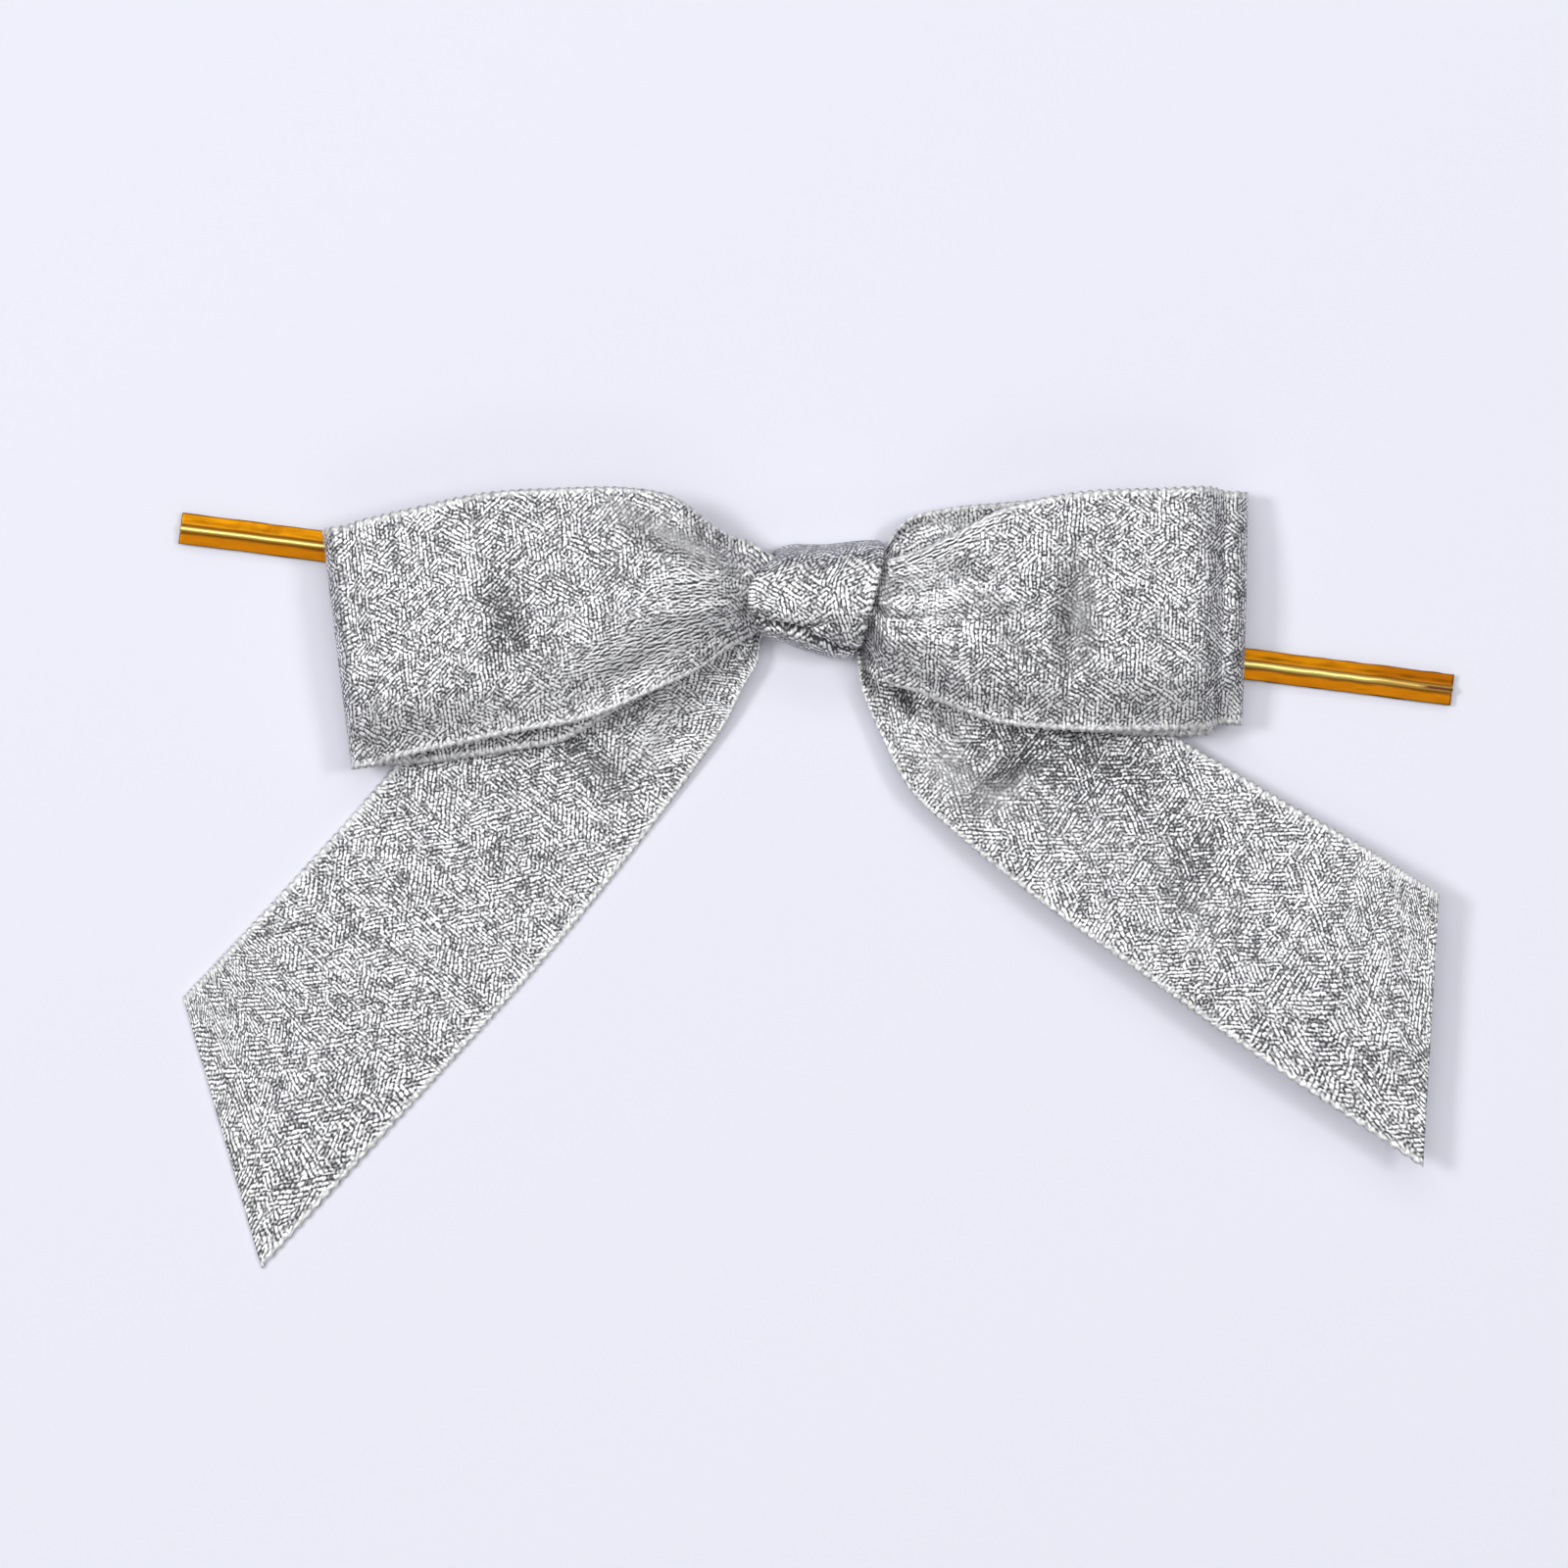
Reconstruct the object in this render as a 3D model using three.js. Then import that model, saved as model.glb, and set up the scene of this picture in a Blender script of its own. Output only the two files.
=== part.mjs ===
// A pre-made gift bow, in millimetres, lying on its back on the plane z = 0 and seen from above.
// A metallic ribbon is tied into two loops and two tails, and a foil twist tie runs straight
// behind its knot. X runs along the loops, Y towards their upper edges, and Z out of the bow's front.

import * as THREE from 'three';

// Ribbon
const ribbonWidth = 25;
const ribbonThickness = 0.4;
// Clearance between ribbon layers and tie inside the knot
const layerGap = 0.15;

// Knot: reach of its front lobe to each side, of its tighter back, and its tapered section
const knotLeftReach = 7.2;
const knotRightReach = 6;
const knotLeftBackReach = 4.8;
const knotRightBackReach = 4;
const knotNarrowSpan = 7.9;
const knotWideSpan = 12.4;
const knotNarrowHeight = 7.6;
const knotWideHeight = 9.2;
// How far the knot's right end leans outwards at its upper side, per millimetre across
const knotEndLeanShare = 0.25;

// Loops: reach from the knot's mouth to the outer fold, heading from +X, height, fold radius
const leftLoopReach = 43.3;
const rightLoopReach = 38.9;
const leftLoopHeading = 187;
const rightLoopHeading = -1.5;
const loopHeight = 4.4;
const loopFoldRadius = 2.4;

// Tails: length from the knot to the middle of the cut end, heading from +X, angle of the cut
const leftTailLength = 80.4;
const rightTailLength = 75.2;
const leftTailHeading = 228;
const rightTailHeading = -32;
const leftTailCut = 31.8;
const rightTailCut = 28.6;
// How far the free end of the right tail stands above its root in the knot
const rightTailLift = 2.8;

// Gathers: how many pleats cross the ribbon at the knot, and how far each rises and falls
const pleatCount = 3;
const pleatRise = 0.25;
// Where the gathered ribbon's edges and crown lie in the room between the knot's core and front,
// and how deep in the knot its stations stand
const frontEdgeShare = 0.25;
const frontCrownShare = 0.62;
const gatheredDepthShares = [0.45, 0.85];

// Twist tie: two foil films round a wire, and where its arms bend
const tieLength = 135;
const tieWidth = 3.25;
const tieSlope = -7.26;
const tieOffset = -1;
const wireDiameter = 0.5;
const filmThickness = 0.12;
const filmGap = 0.03;
const tieMiddleLength = 16.4;
const leftBendSpacing = 17;
const rightBendSpacing = 14;
const bendGap = 0.06;

// Fineness of the facets
const ribbonColumns = 12;
const stretchSteps = 2;
const foldSteps = 6;
const wireSides = 12;
const bumpSteps = 10;

const ribbonFinish = { color: 0xb9babc, roughness: 0.45, metalness: 0.7 };
const goldFinish = { color: 0xd9920f, roughness: 0.25, metalness: 1 };
const wireFinish = { color: 0x9a9ca0, roughness: 0.4, metalness: 1 };

const ribbonHalf = ribbonWidth / 2;
const tieBase = ribbonThickness + layerGap;
const wireSeat = tieBase + filmThickness + filmGap;
const tieTop = wireSeat + wireDiameter + filmGap + filmThickness;
const layerPitch = ribbonThickness + 2 * layerGap + pleatRise / 2;
const tailLevel = tieTop + layerGap + pleatRise + ribbonThickness / 2;
const backLevel = tailLevel + layerPitch;
const gatheredHalf = knotNarrowSpan / 2 - ribbonThickness - 2 * layerGap;
const coreBase = backLevel + pleatRise + ribbonThickness / 2 + layerGap;
const frontRoomHeight = knotNarrowHeight - ribbonThickness - 2 * layerGap - coreBase;
const frontEdgeLevel = coreBase + frontRoomHeight * frontEdgeShare;
const frontCrown = frontRoomHeight * frontCrownShare;

function degrees(angle) {
  return THREE.MathUtils.degToRad(angle);
}

function mesh(name, geometry, finish) {
  const piece = new THREE.Mesh(geometry, new THREE.MeshStandardMaterial(finish));
  piece.name = name;
  return piece;
}

// A closed solid from two grids of points that face each other, rows by columns
function closedSheet(upper, lower) {
  const rows = upper.length;
  const columns = upper[0].length;
  const positions = [];
  for (const grid of [upper, lower]) {
    for (const row of grid) {
      for (const point of row) {
        positions.push(point.x, point.y, point.z);
      }
    }
  }
  const sideStart = rows * columns;
  const top = (row, column) => row * columns + column;
  const under = (row, column) => sideStart + row * columns + column;
  const triangles = [];
  const quad = (a, b, c, d) => triangles.push(a, b, c, a, c, d);
  for (let row = 0; row + 1 < rows; row += 1) {
    const next = row + 1;
    for (let column = 0; column + 1 < columns; column += 1) {
      const beside = column + 1;
      quad(top(row, column), top(next, column), top(next, beside), top(row, beside));
      quad(under(row, column), under(row, beside), under(next, beside), under(next, column));
    }
  }
  const last = columns - 1;
  for (let row = 0; row + 1 < rows; row += 1) {
    quad(top(row, 0), under(row, 0), under(row + 1, 0), top(row + 1, 0));
    quad(top(row, last), top(row + 1, last), under(row + 1, last), under(row, last));
  }
  const end = rows - 1;
  for (let column = 0; column < last; column += 1) {
    quad(top(0, column), top(0, column + 1), under(0, column + 1), under(0, column));
    quad(top(end, column), under(end, column), under(end, column + 1), top(end, column + 1));
  }
  const geometry = new THREE.BufferGeometry();
  geometry.setAttribute('position', new THREE.Float32BufferAttribute(positions, 3));
  geometry.setIndex(triangles);
  return geometry;
}

// The same sheet turned so that its faces point out
function outward(geometry) {
  const position = geometry.getAttribute('position');
  const index = geometry.getIndex();
  const a = new THREE.Vector3();
  const b = new THREE.Vector3();
  const c = new THREE.Vector3();
  let volume = 0;
  for (let i = 0; i < index.count; i += 3) {
    a.fromBufferAttribute(position, index.getX(i));
    b.fromBufferAttribute(position, index.getX(i + 1));
    c.fromBufferAttribute(position, index.getX(i + 2));
    volume += a.dot(b.cross(c));
  }
  if (volume < 0) {
    const flipped = [];
    for (let i = 0; i < index.count; i += 3) {
      flipped.push(index.getX(i), index.getX(i + 2), index.getX(i + 1));
    }
    geometry.setIndex(flipped);
  }
  return geometry;
}

// The unit normals of a grid of points
function gridNormals(grid) {
  const rows = grid.length;
  const columns = grid[0].length;
  return grid.map((line, row) => line.map((point, column) => {
    const ahead = grid[Math.min(row + 1, rows - 1)][column];
    const behind = grid[Math.max(row - 1, 0)][column];
    const left = line[Math.min(column + 1, columns - 1)];
    const right = line[Math.max(column - 1, 0)];
    const along = ahead.clone().sub(behind);
    const across = left.clone().sub(right);
    return along.cross(across).normalize();
  }));
}

// A ribbon of the named thickness whose middle surface is the grid
function thicken(grid) {
  const normals = gridNormals(grid);
  const shifted = (amount) => grid.map((line, row) => line.map((point, column) => {
    const moved = point.clone().addScaledVector(normals[row][column], amount);
    moved.z = Math.max(moved.z, 0);
    return moved;
  }));
  return outward(closedSheet(shifted(ribbonThickness / 2), shifted(-ribbonThickness / 2)));
}

// One station of a ribbon: its two edges, how far its middle bulges, how deep its pleats are, and
// in how many steps the ribbon goes on to the next station
function station(upper, lower, crown, pleat, steps = stretchSteps) {
  return { upper, lower, form: new THREE.Vector3(crown, pleat, 0), steps };
}

// Points across a ribbon at each step along smooth curves through its stations
function ribbonGrid(stations) {
  const curve = (key) => {
    const points = stations.map((item) => item[key]);
    return new THREE.CatmullRomCurve3(points, false, 'centripetal');
  };
  const upper = curve('upper');
  const lower = curve('lower');
  const form = curve('form');
  const last = stations.length - 1;
  const places = [];
  stations.slice(0, last).forEach((item, index) => {
    for (let step = 0; step < item.steps; step += 1) {
      places.push((index + step / item.steps) / last);
    }
  });
  places.push(1);
  const grid = [];
  for (const along of places) {
    const start = upper.getPoint(along);
    const end = lower.getPoint(along);
    const shape = form.getPoint(along);
    const line = [];
    for (let column = 0; column <= ribbonColumns; column += 1) {
      const across = column / ribbonColumns;
      const point = start.clone().lerp(end, across);
      point.z += shape.x * 4 * across * (1 - across);
      point.z += shape.y * Math.cos(2 * Math.PI * pleatCount * across);
      point.z = Math.max(point.z, ribbonThickness / 2);
      line.push(point);
    }
    grid.push(line);
  }
  return grid;
}

// A flat frame at the knot's mouth: points are given along its heading and across it, and the
// upper edge of the ribbon lies on the side that upward names
function frameAt(x, y, heading, upward) {
  const ahead = new THREE.Vector3(Math.cos(degrees(heading)), Math.sin(degrees(heading)), 0);
  const across = new THREE.Vector3(-ahead.y, ahead.x, 0).multiplyScalar(upward);
  const origin = new THREE.Vector3(x, y, 0);
  return { origin, ahead, across };
}

function place(frame, along, across, z) {
  const point = frame.origin.clone();
  point.addScaledVector(frame.ahead, along);
  point.addScaledVector(frame.across, across);
  point.z = z;
  return point;
}

// Stations from a table of shares. Each line holds: along the reach, sideways by ribbon widths,
// spread from gathered 0 to flat 1, turn in degrees, rise of the upper and the lower edge by the
// given height, crown by ribbon widths, and pleats by the knot's pleats
function stationsFrom(lines, frame, reach, base, height) {
  return lines.map(([along, aside, spread, turn, upperRise, lowerRise, crown, pleat]) => {
    const half = gatheredHalf + spread * (ribbonHalf - gatheredHalf);
    const ahead = half * Math.sin(degrees(turn));
    const sideways = half * Math.cos(degrees(turn));
    const middle = aside * ribbonWidth;
    return station(
      place(frame, along * reach + ahead, middle + sideways, base + upperRise * height),
      place(frame, along * reach - ahead, middle - sideways, base + lowerRise * height),
      crown * ribbonWidth,
      pleat * pleatRise,
    );
  });
}

// Stations inside the knot, where the ribbon is gathered and runs along X to the mouth
function gatheredStations(side, level, crown) {
  const reach = side < 0 ? knotLeftBackReach : knotRightBackReach;
  const depths = [layerGap * 2, ...gatheredDepthShares.map((share) => share * reach)];
  return depths.map((depth) => station(
    new THREE.Vector3(side * depth, gatheredHalf, level),
    new THREE.Vector3(side * depth, -gatheredHalf, level),
    crown,
    pleatRise,
    1,
  ));
}

const leftMouth = frameAt(-knotLeftReach, 0, leftLoopHeading, -1);
const rightMouth = frameAt(knotRightReach, 0, rightLoopHeading, 1);
const leftTailMouth = frameAt(-knotLeftBackReach, 0, leftTailHeading, -1);
const rightTailMouth = frameAt(knotRightBackReach, 0, rightTailHeading, 1);

const leftBackShares = [
  [0.02, 0, 0.02, 0, 0.03, 0.03, 0, 1],
  [0.12, 0.05, 0.38, 0, 0.06, 0.03, 0.012, 1.1],
  [0.25, 0.05, 0.62, 0, 0, -0.04, 0.02, 1],
  [0.4, 0.036, 0.924, 0, -0.05, -0.1, 0.024, 0.5],
  [0.5, -0.004, 0.984, 0, -0.08, -0.13, 0.024, 0.3],
  [0.6, -0.007, 1, 0, -0.12, -0.17, 0.024, 0.1],
  [0.8, -0.014, 1, 0, -0.19, -0.26, 0.02, 0],
  [0.91, -0.006, 1, 0, -0.23, -0.34, 0.02, 0],
];
const leftFoldShares = [0, 1, -0.24, -0.37, 0.02];
const leftFrontShares = [
  [0.9, 0.016, 1, 0, 0.7, 0.64, 0.024, 0],
  [0.78, 0.036, 1, 0, 0.88, 0.84, 0.028, 0],
  [0.6, 0.063, 1, 0, 1, 0.97, 0.03, 0.1],
  [0.42, 0.065, 0.948, 0, 1, 0.98, 0.036, 0.3],
  [0.26, 0.088, 0.805, 0, 0.86, 0.84, 0.056, 0.6],
  [0.15, 0.09, 0.638, 0, 0.62, 0.6, 0.08, 0.9],
  [0.06, 0.056, 0.33, 0, 0.28, 0.28, 0.085, 1],
  [0.005, 0.02, 0.12, 0, 0, -0.03, 0.085, 1],
  [-0.042, 0, -0.02, 0, -0.04, -0.04, 0.085, 1],
];
const rightBackShares = [
  [0.01, 0.02, 0.09, 0, 0.03, 0.03, 0, 1],
  [0.08, 0.06, 0.384, 0, 0.04, 0.07, 0.008, 1.1],
  [0.19, 0.022, 0.638, 0, 0.02, 0.14, 0.012, 1],
  [0.31, -0.014, 0.8, 0, 0, 0.2, 0.016, 0.7],
  [0.54, -0.038, 0.95, 0, -0.1, 0.18, 0.016, 0.2],
  [0.77, -0.038, 1, 0, -0.26, 0.02, 0.04, 0],
  [0.92, -0.02, 1, 0, -0.42, -0.34, 0.065, 0],
];
const rightFoldShares = [0, 0.95, -0.49, -0.575, 0.078];
const rightFrontShares = [
  [0.89, -0.004, 1, 0, 0.68, 0.62, 0.066, 0],
  [0.76, -0.018, 1, 0, 0.95, 0.91, 0.044, 0],
  [0.55, -0.034, 0.984, 0, 1.04, 1.02, 0.034, 0.1],
  [0.34, -0.06, 0.85, 0, 0.98, 0.96, 0.05, 0.4],
  [0.24, -0.078, 0.67, 0, 0.86, 0.84, 0.066, 0.6],
  [0.13, -0.088, 0.46, 0, 0.56, 0.54, 0.08, 0.8],
  [0.04, -0.09, 0.335, 0, 0.3, 0.26, 0.07, 1],
  [0, -0.036, 0.16, 0, 0.1, 0.08, 0.07, 1],
];
const leftTailShares = [
  [0.021, 0.036, -0.006, -31, 0, 0, 0, 1],
  [0.053, 0.047, 0.17, -19.6, 0, 0, 0, 1],
  [0.1075, 0.106, 0.375, -2.4, 0.1, 0.12, 0.008, 1.1],
  [0.1715, 0.183, 0.71, 5.9, 0.5, 0.45, 0.02, 1.1],
  [0.257, 0.231, 0.935, 7.8, 0.8, 0.76, 0.016, 0.8],
  [0.376, 0.224, 1, 3.5, 1, 1, 0.004, 0.3],
  [0.536, 0.2, 1, 1.1, 1, 1, 0, 0],
  [0.785, 0.204, 1, 0, 1, 1, 0, 0],
];
const leftTailEndShares = [1, 0.214];
const rightTailShares = [
  [0.025, -0.01, 0.13, -15.5, 0, 0, 0, 1],
  [0.07, -0.063, 0.29, -2.9, -0.02, 0.04, 0, 1],
  [0.138, -0.12, 0.479, 2.9, -0.06, 0.14, 0.004, 1],
  [0.217, -0.18, 0.665, 5.2, -0.08, 0.28, 0.008, 1],
  [0.31, -0.2, 0.762, 6.8, -0.08, 0.42, 0.012, 0.6],
  [0.448, -0.22, 0.845, 3.6, -0.04, 0.6, 0.02, 0.3],
  [0.627, -0.232, 0.897, 2, 0.4, 0.8, 0.03, 0],
  [0.789, -0.24, 0.963, 1, 0.75, 0.95, 0.02, 0],
];
const rightTailEndShares = [1, -0.255];

// The half turn of a loop's outer fold, from its back layer round to its front layer
function foldStations(frame, reach, height, [aside, spread, upperRise, lowerRise, crown]) {
  const half = gatheredHalf + spread * (ribbonHalf - gatheredHalf);
  const middle = aside * ribbonWidth;
  const stations = [];
  for (let step = 0; step <= foldSteps; step += 1) {
    const angle = Math.PI * step / foldSteps;
    const along = reach + loopFoldRadius * (Math.sin(angle) - 1);
    const lift = backLevel + loopFoldRadius * (1 - Math.cos(angle));
    stations.push(station(
      place(frame, along, middle + half, lift + upperRise * height),
      place(frame, along, middle - half, lift + lowerRise * height),
      crown * ribbonWidth,
      0,
      1,
    ));
  }
  return stations;
}

// A loop: out along its back layer, round the fold, and back along its bulging front layer
function loopGeometry(side, frame, reach, backShares, foldShares, frontShares) {
  const stations = [
    ...gatheredStations(side, backLevel, 0),
    ...stationsFrom(backShares, frame, reach, backLevel, loopHeight),
    ...foldStations(frame, reach, loopHeight, foldShares),
    ...stationsFrom(frontShares, frame, reach, frontEdgeLevel, loopHeight),
    ...gatheredStations(side, frontEdgeLevel, frontCrown).reverse(),
  ];
  return thicken(ribbonGrid(stations));
}

// A tail: out of the knot, fanning to its full width, to an end cut at an angle
function tailGeometry(side, frame, length, shares, endShares, cut, endLevel, height) {
  const stations = [
    ...gatheredStations(side, tailLevel, 0),
    ...stationsFrom(shares, frame, length, tailLevel, height),
  ];
  const [along, aside] = endShares;
  const slant = ribbonHalf * Math.tan(degrees(cut));
  const middle = aside * ribbonWidth;
  stations.push(station(
    place(frame, along * length - slant, middle + ribbonHalf, endLevel),
    place(frame, along * length + slant, middle - ribbonHalf, endLevel),
    0,
    0,
  ));
  return thicken(ribbonGrid(stations));
}

// Half of the knot's section: across by half its span and up by its height, flat at the back
const knotSectionShares = [
  [0.74, 0],
  [0.92, 0.035],
  [1, 0.14],
  [1, 0.34],
  [0.96, 0.55],
  [0.84, 0.76],
  [0.62, 0.9],
  [0.33, 0.975],
  [0, 1],
];
// How late the knot's ends swell out between its back and its front
const leftBulgePower = 2.8;
const rightBulgePower = 0.5;
const knotStationShares = [0, 0.12, 0.3, 0.5, 0.7, 0.88, 1];

// The band round the knot: a tapered ring, closed on itself, with its back flat on z = 0
function knotGeometry() {
  const halfSection = knotSectionShares;
  const mirrored = halfSection.slice(0, -1).reverse().map(([y, z]) => [-y, z]);
  const section = [...halfSection, ...mirrored];
  const grids = { outer: [], inner: [] };
  for (const share of knotStationShares) {
    const swell = Math.sin(share * Math.PI / 2);
    const span = THREE.MathUtils.lerp(knotNarrowSpan, knotWideSpan, swell);
    const height = THREE.MathUtils.lerp(knotNarrowHeight, knotWideHeight, swell);
    const outline = section.map(([y, z]) => new THREE.Vector2(y * span / 2, z * height));
    const count = outline.length;
    const rings = { outer: [], inner: [] };
    for (let i = 0; i < count; i += 1) {
      const ahead = outline[(i + 1) % count];
      const behind = outline[(i + count - 1) % count];
      const tangent = ahead.clone().sub(behind).normalize();
      const inside = new THREE.Vector2(-tangent.y, tangent.x);
      const point = outline[i];
      const flat = point.y === 0;
      const shrunk = flat
        ? new THREE.Vector2(point.x, ribbonThickness)
        : point.clone().addScaledVector(inside, ribbonThickness);
      for (const [key, spot] of [['outer', point], ['inner', shrunk]]) {
        const rise = THREE.MathUtils.clamp(spot.y / height, 0, 1);
        const left = -THREE.MathUtils.lerp(knotLeftBackReach, knotLeftReach, rise ** leftBulgePower);
        const lean = knotEndLeanShare * spot.x;
        const bulge = rise ** rightBulgePower;
        const right = THREE.MathUtils.lerp(knotRightBackReach, knotRightReach, bulge) + lean;
        const x = THREE.MathUtils.lerp(left, right, share);
        rings[key].push(new THREE.Vector3(x, spot.x, spot.y));
      }
    }
    grids.outer.push([...rings.outer, rings.outer[0]]);
    grids.inner.push([...rings.inner, rings.inner[0]]);
  }
  return ringGeometry(grids.outer, grids.inner);
}

// A closed tube wall between an outer and an inner grid of rings
function ringGeometry(outer, inner) {
  const rows = outer.length;
  const count = outer[0].length - 1;
  const positions = [];
  for (const grid of [outer, inner]) {
    for (const ring of grid) {
      for (const point of ring.slice(0, count)) {
        positions.push(point.x, point.y, point.z);
      }
    }
  }
  const at = (grid, row, i) => grid * rows * count + row * count + (i % count);
  const triangles = [];
  const quad = (a, b, c, d) => triangles.push(a, b, c, a, c, d);
  for (let i = 0; i < count; i += 1) {
    for (let row = 0; row + 1 < rows; row += 1) {
      quad(at(0, row, i), at(0, row, i + 1), at(0, row + 1, i + 1), at(0, row + 1, i));
      quad(at(1, row, i), at(1, row + 1, i), at(1, row + 1, i + 1), at(1, row, i + 1));
    }
    quad(at(0, 0, i), at(1, 0, i), at(1, 0, i + 1), at(0, 0, i + 1));
    quad(at(0, rows - 1, i), at(0, rows - 1, i + 1), at(1, rows - 1, i + 1), at(1, rows - 1, i));
  }
  const geometry = new THREE.BufferGeometry();
  geometry.setAttribute('position', new THREE.Float32BufferAttribute(positions, 3));
  geometry.setIndex(triangles);
  return outward(geometry);
}

// The gathered run of ribbon inside the knot, between the back and the front layers
function coreGeometry() {
  const half = gatheredHalf - layerGap;
  const reach = knotRightBackReach;
  const upper = [];
  const lower = [];
  for (const x of [-reach, -reach / 2, 0, reach / 2, reach]) {
    const top = [];
    const bottom = [];
    for (let column = 0; column <= ribbonColumns; column += 1) {
      const across = column / ribbonColumns;
      const y = half * (1 - 2 * across);
      const pleat = pleatRise * Math.cos(2 * Math.PI * pleatCount * across) / 2;
      const arch = frontCrown * 4 * across * (1 - across);
      const ceiling = frontEdgeLevel - ribbonThickness / 2 - pleatRise - 2 * layerGap;
      bottom.push(new THREE.Vector3(x, y, coreBase + layerGap + pleat));
      top.push(new THREE.Vector3(x, y, Math.max(ceiling, coreBase + ribbonThickness) + arch + pleat));
    }
    upper.push(top);
    lower.push(bottom);
  }
  return outward(closedSheet(upper, lower));
}

// The twist tie lies in a frame of its own: X along it, and its back at the height of its base
function extrudedAlong(shape, start, end) {
  const geometry = new THREE.ExtrudeGeometry(shape, { depth: end - start, bevelEnabled: false });
  geometry.rotateX(Math.PI / 2);
  geometry.rotateZ(Math.PI / 2);
  geometry.translate(start, 0, 0);
  return geometry;
}

function backFilm(start, end) {
  const shape = new THREE.Shape();
  shape.moveTo(-tieWidth / 2, tieBase);
  shape.lineTo(tieWidth / 2, tieBase);
  shape.lineTo(tieWidth / 2, tieBase + filmThickness);
  shape.lineTo(-tieWidth / 2, tieBase + filmThickness);
  shape.closePath();
  return extrudedAlong(shape, start, end);
}

function frontFilm(start, end) {
  const seat = tieBase + filmThickness + filmGap;
  const inner = wireDiameter / 2 + filmGap;
  const outer = inner + filmThickness;
  const axis = wireSeat + wireDiameter / 2;
  const shape = new THREE.Shape();
  shape.moveTo(-tieWidth / 2, seat);
  shape.lineTo(-inner, seat);
  shape.lineTo(-inner, axis);
  for (let step = 1; step < bumpSteps; step += 1) {
    const angle = Math.PI * (1 - step / bumpSteps);
    shape.lineTo(inner * Math.cos(angle), axis + inner * Math.sin(angle));
  }
  shape.lineTo(inner, axis);
  shape.lineTo(inner, seat);
  shape.lineTo(tieWidth / 2, seat);
  shape.lineTo(tieWidth / 2, seat + filmThickness);
  shape.lineTo(outer, seat + filmThickness);
  for (let step = 0; step <= bumpSteps; step += 1) {
    const angle = Math.PI * step / bumpSteps;
    shape.lineTo(outer * Math.cos(angle), axis + outer * Math.sin(angle));
  }
  shape.lineTo(-outer, seat + filmThickness);
  shape.lineTo(-tieWidth / 2, seat + filmThickness);
  shape.closePath();
  return extrudedAlong(shape, start, end);
}

function wire(start, end) {
  const geometry = new THREE.CylinderGeometry(wireDiameter / 2, wireDiameter / 2, end - start, wireSides);
  geometry.rotateZ(Math.PI / 2);
  geometry.translate((start + end) / 2, 0, wireSeat + wireDiameter / 2);
  return geometry;
}

function tieStretch(name, start, end) {
  return [
    mesh(`tie_${name}_front_film`, frontFilm(start, end), goldFinish),
    mesh(`tie_${name}_back_film`, backFilm(start, end), goldFinish),
    mesh(`tie_${name}_wire`, wire(start, end), wireFinish),
  ];
}

const bow = new THREE.Group();

function ribbonPiece(name, geometry) {
  bow.add(mesh(name, geometry, ribbonFinish));
}

ribbonPiece('left_loop', loopGeometry(
  -1, leftMouth, leftLoopReach, leftBackShares, leftFoldShares, leftFrontShares,
));
ribbonPiece('right_loop', loopGeometry(
  1, rightMouth, rightLoopReach, rightBackShares, rightFoldShares, rightFrontShares,
));
ribbonPiece('left_tail', tailGeometry(
  -1, leftTailMouth, leftTailLength, leftTailShares, leftTailEndShares, leftTailCut,
  ribbonThickness / 2, ribbonThickness / 2 - tailLevel,
));
ribbonPiece('right_tail', tailGeometry(
  1, rightTailMouth, rightTailLength, rightTailShares, rightTailEndShares, rightTailCut,
  tailLevel + rightTailLift, rightTailLift,
));
ribbonPiece('knot_wrap', knotGeometry());
ribbonPiece('knot_core', coreGeometry());

const tie = new THREE.Group();
const middleHalf = tieMiddleLength / 2;
const tieHalf = tieLength / 2;
const leftBend = middleHalf + leftBendSpacing;
const rightBend = middleHalf + rightBendSpacing;
tie.add(...tieStretch('middle', -middleHalf, middleHalf));
tie.add(...tieStretch('left_inner', -leftBend, -middleHalf - bendGap));
tie.add(...tieStretch('left_outer', -tieHalf, -leftBend - bendGap));
tie.add(...tieStretch('right_inner', middleHalf + bendGap, rightBend));
tie.add(...tieStretch('right_outer', rightBend + bendGap, tieHalf));
tie.position.y = tieOffset;
tie.rotation.z = degrees(tieSlope);
bow.add(tie);

export default bow;
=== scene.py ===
# The looks of a pre-made gift bow: a silver woven metallic ribbon tied in two loops and two tails on
# a gold foil twist tie. It lies on its back and is seen from straight above. Every length here is
# in millimetres in the bow's own frame, and becomes metres where a mesh or the camera is made. Only
# the lamps, the size of the floor and the camera's clipping are given in metres.
import math

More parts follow.
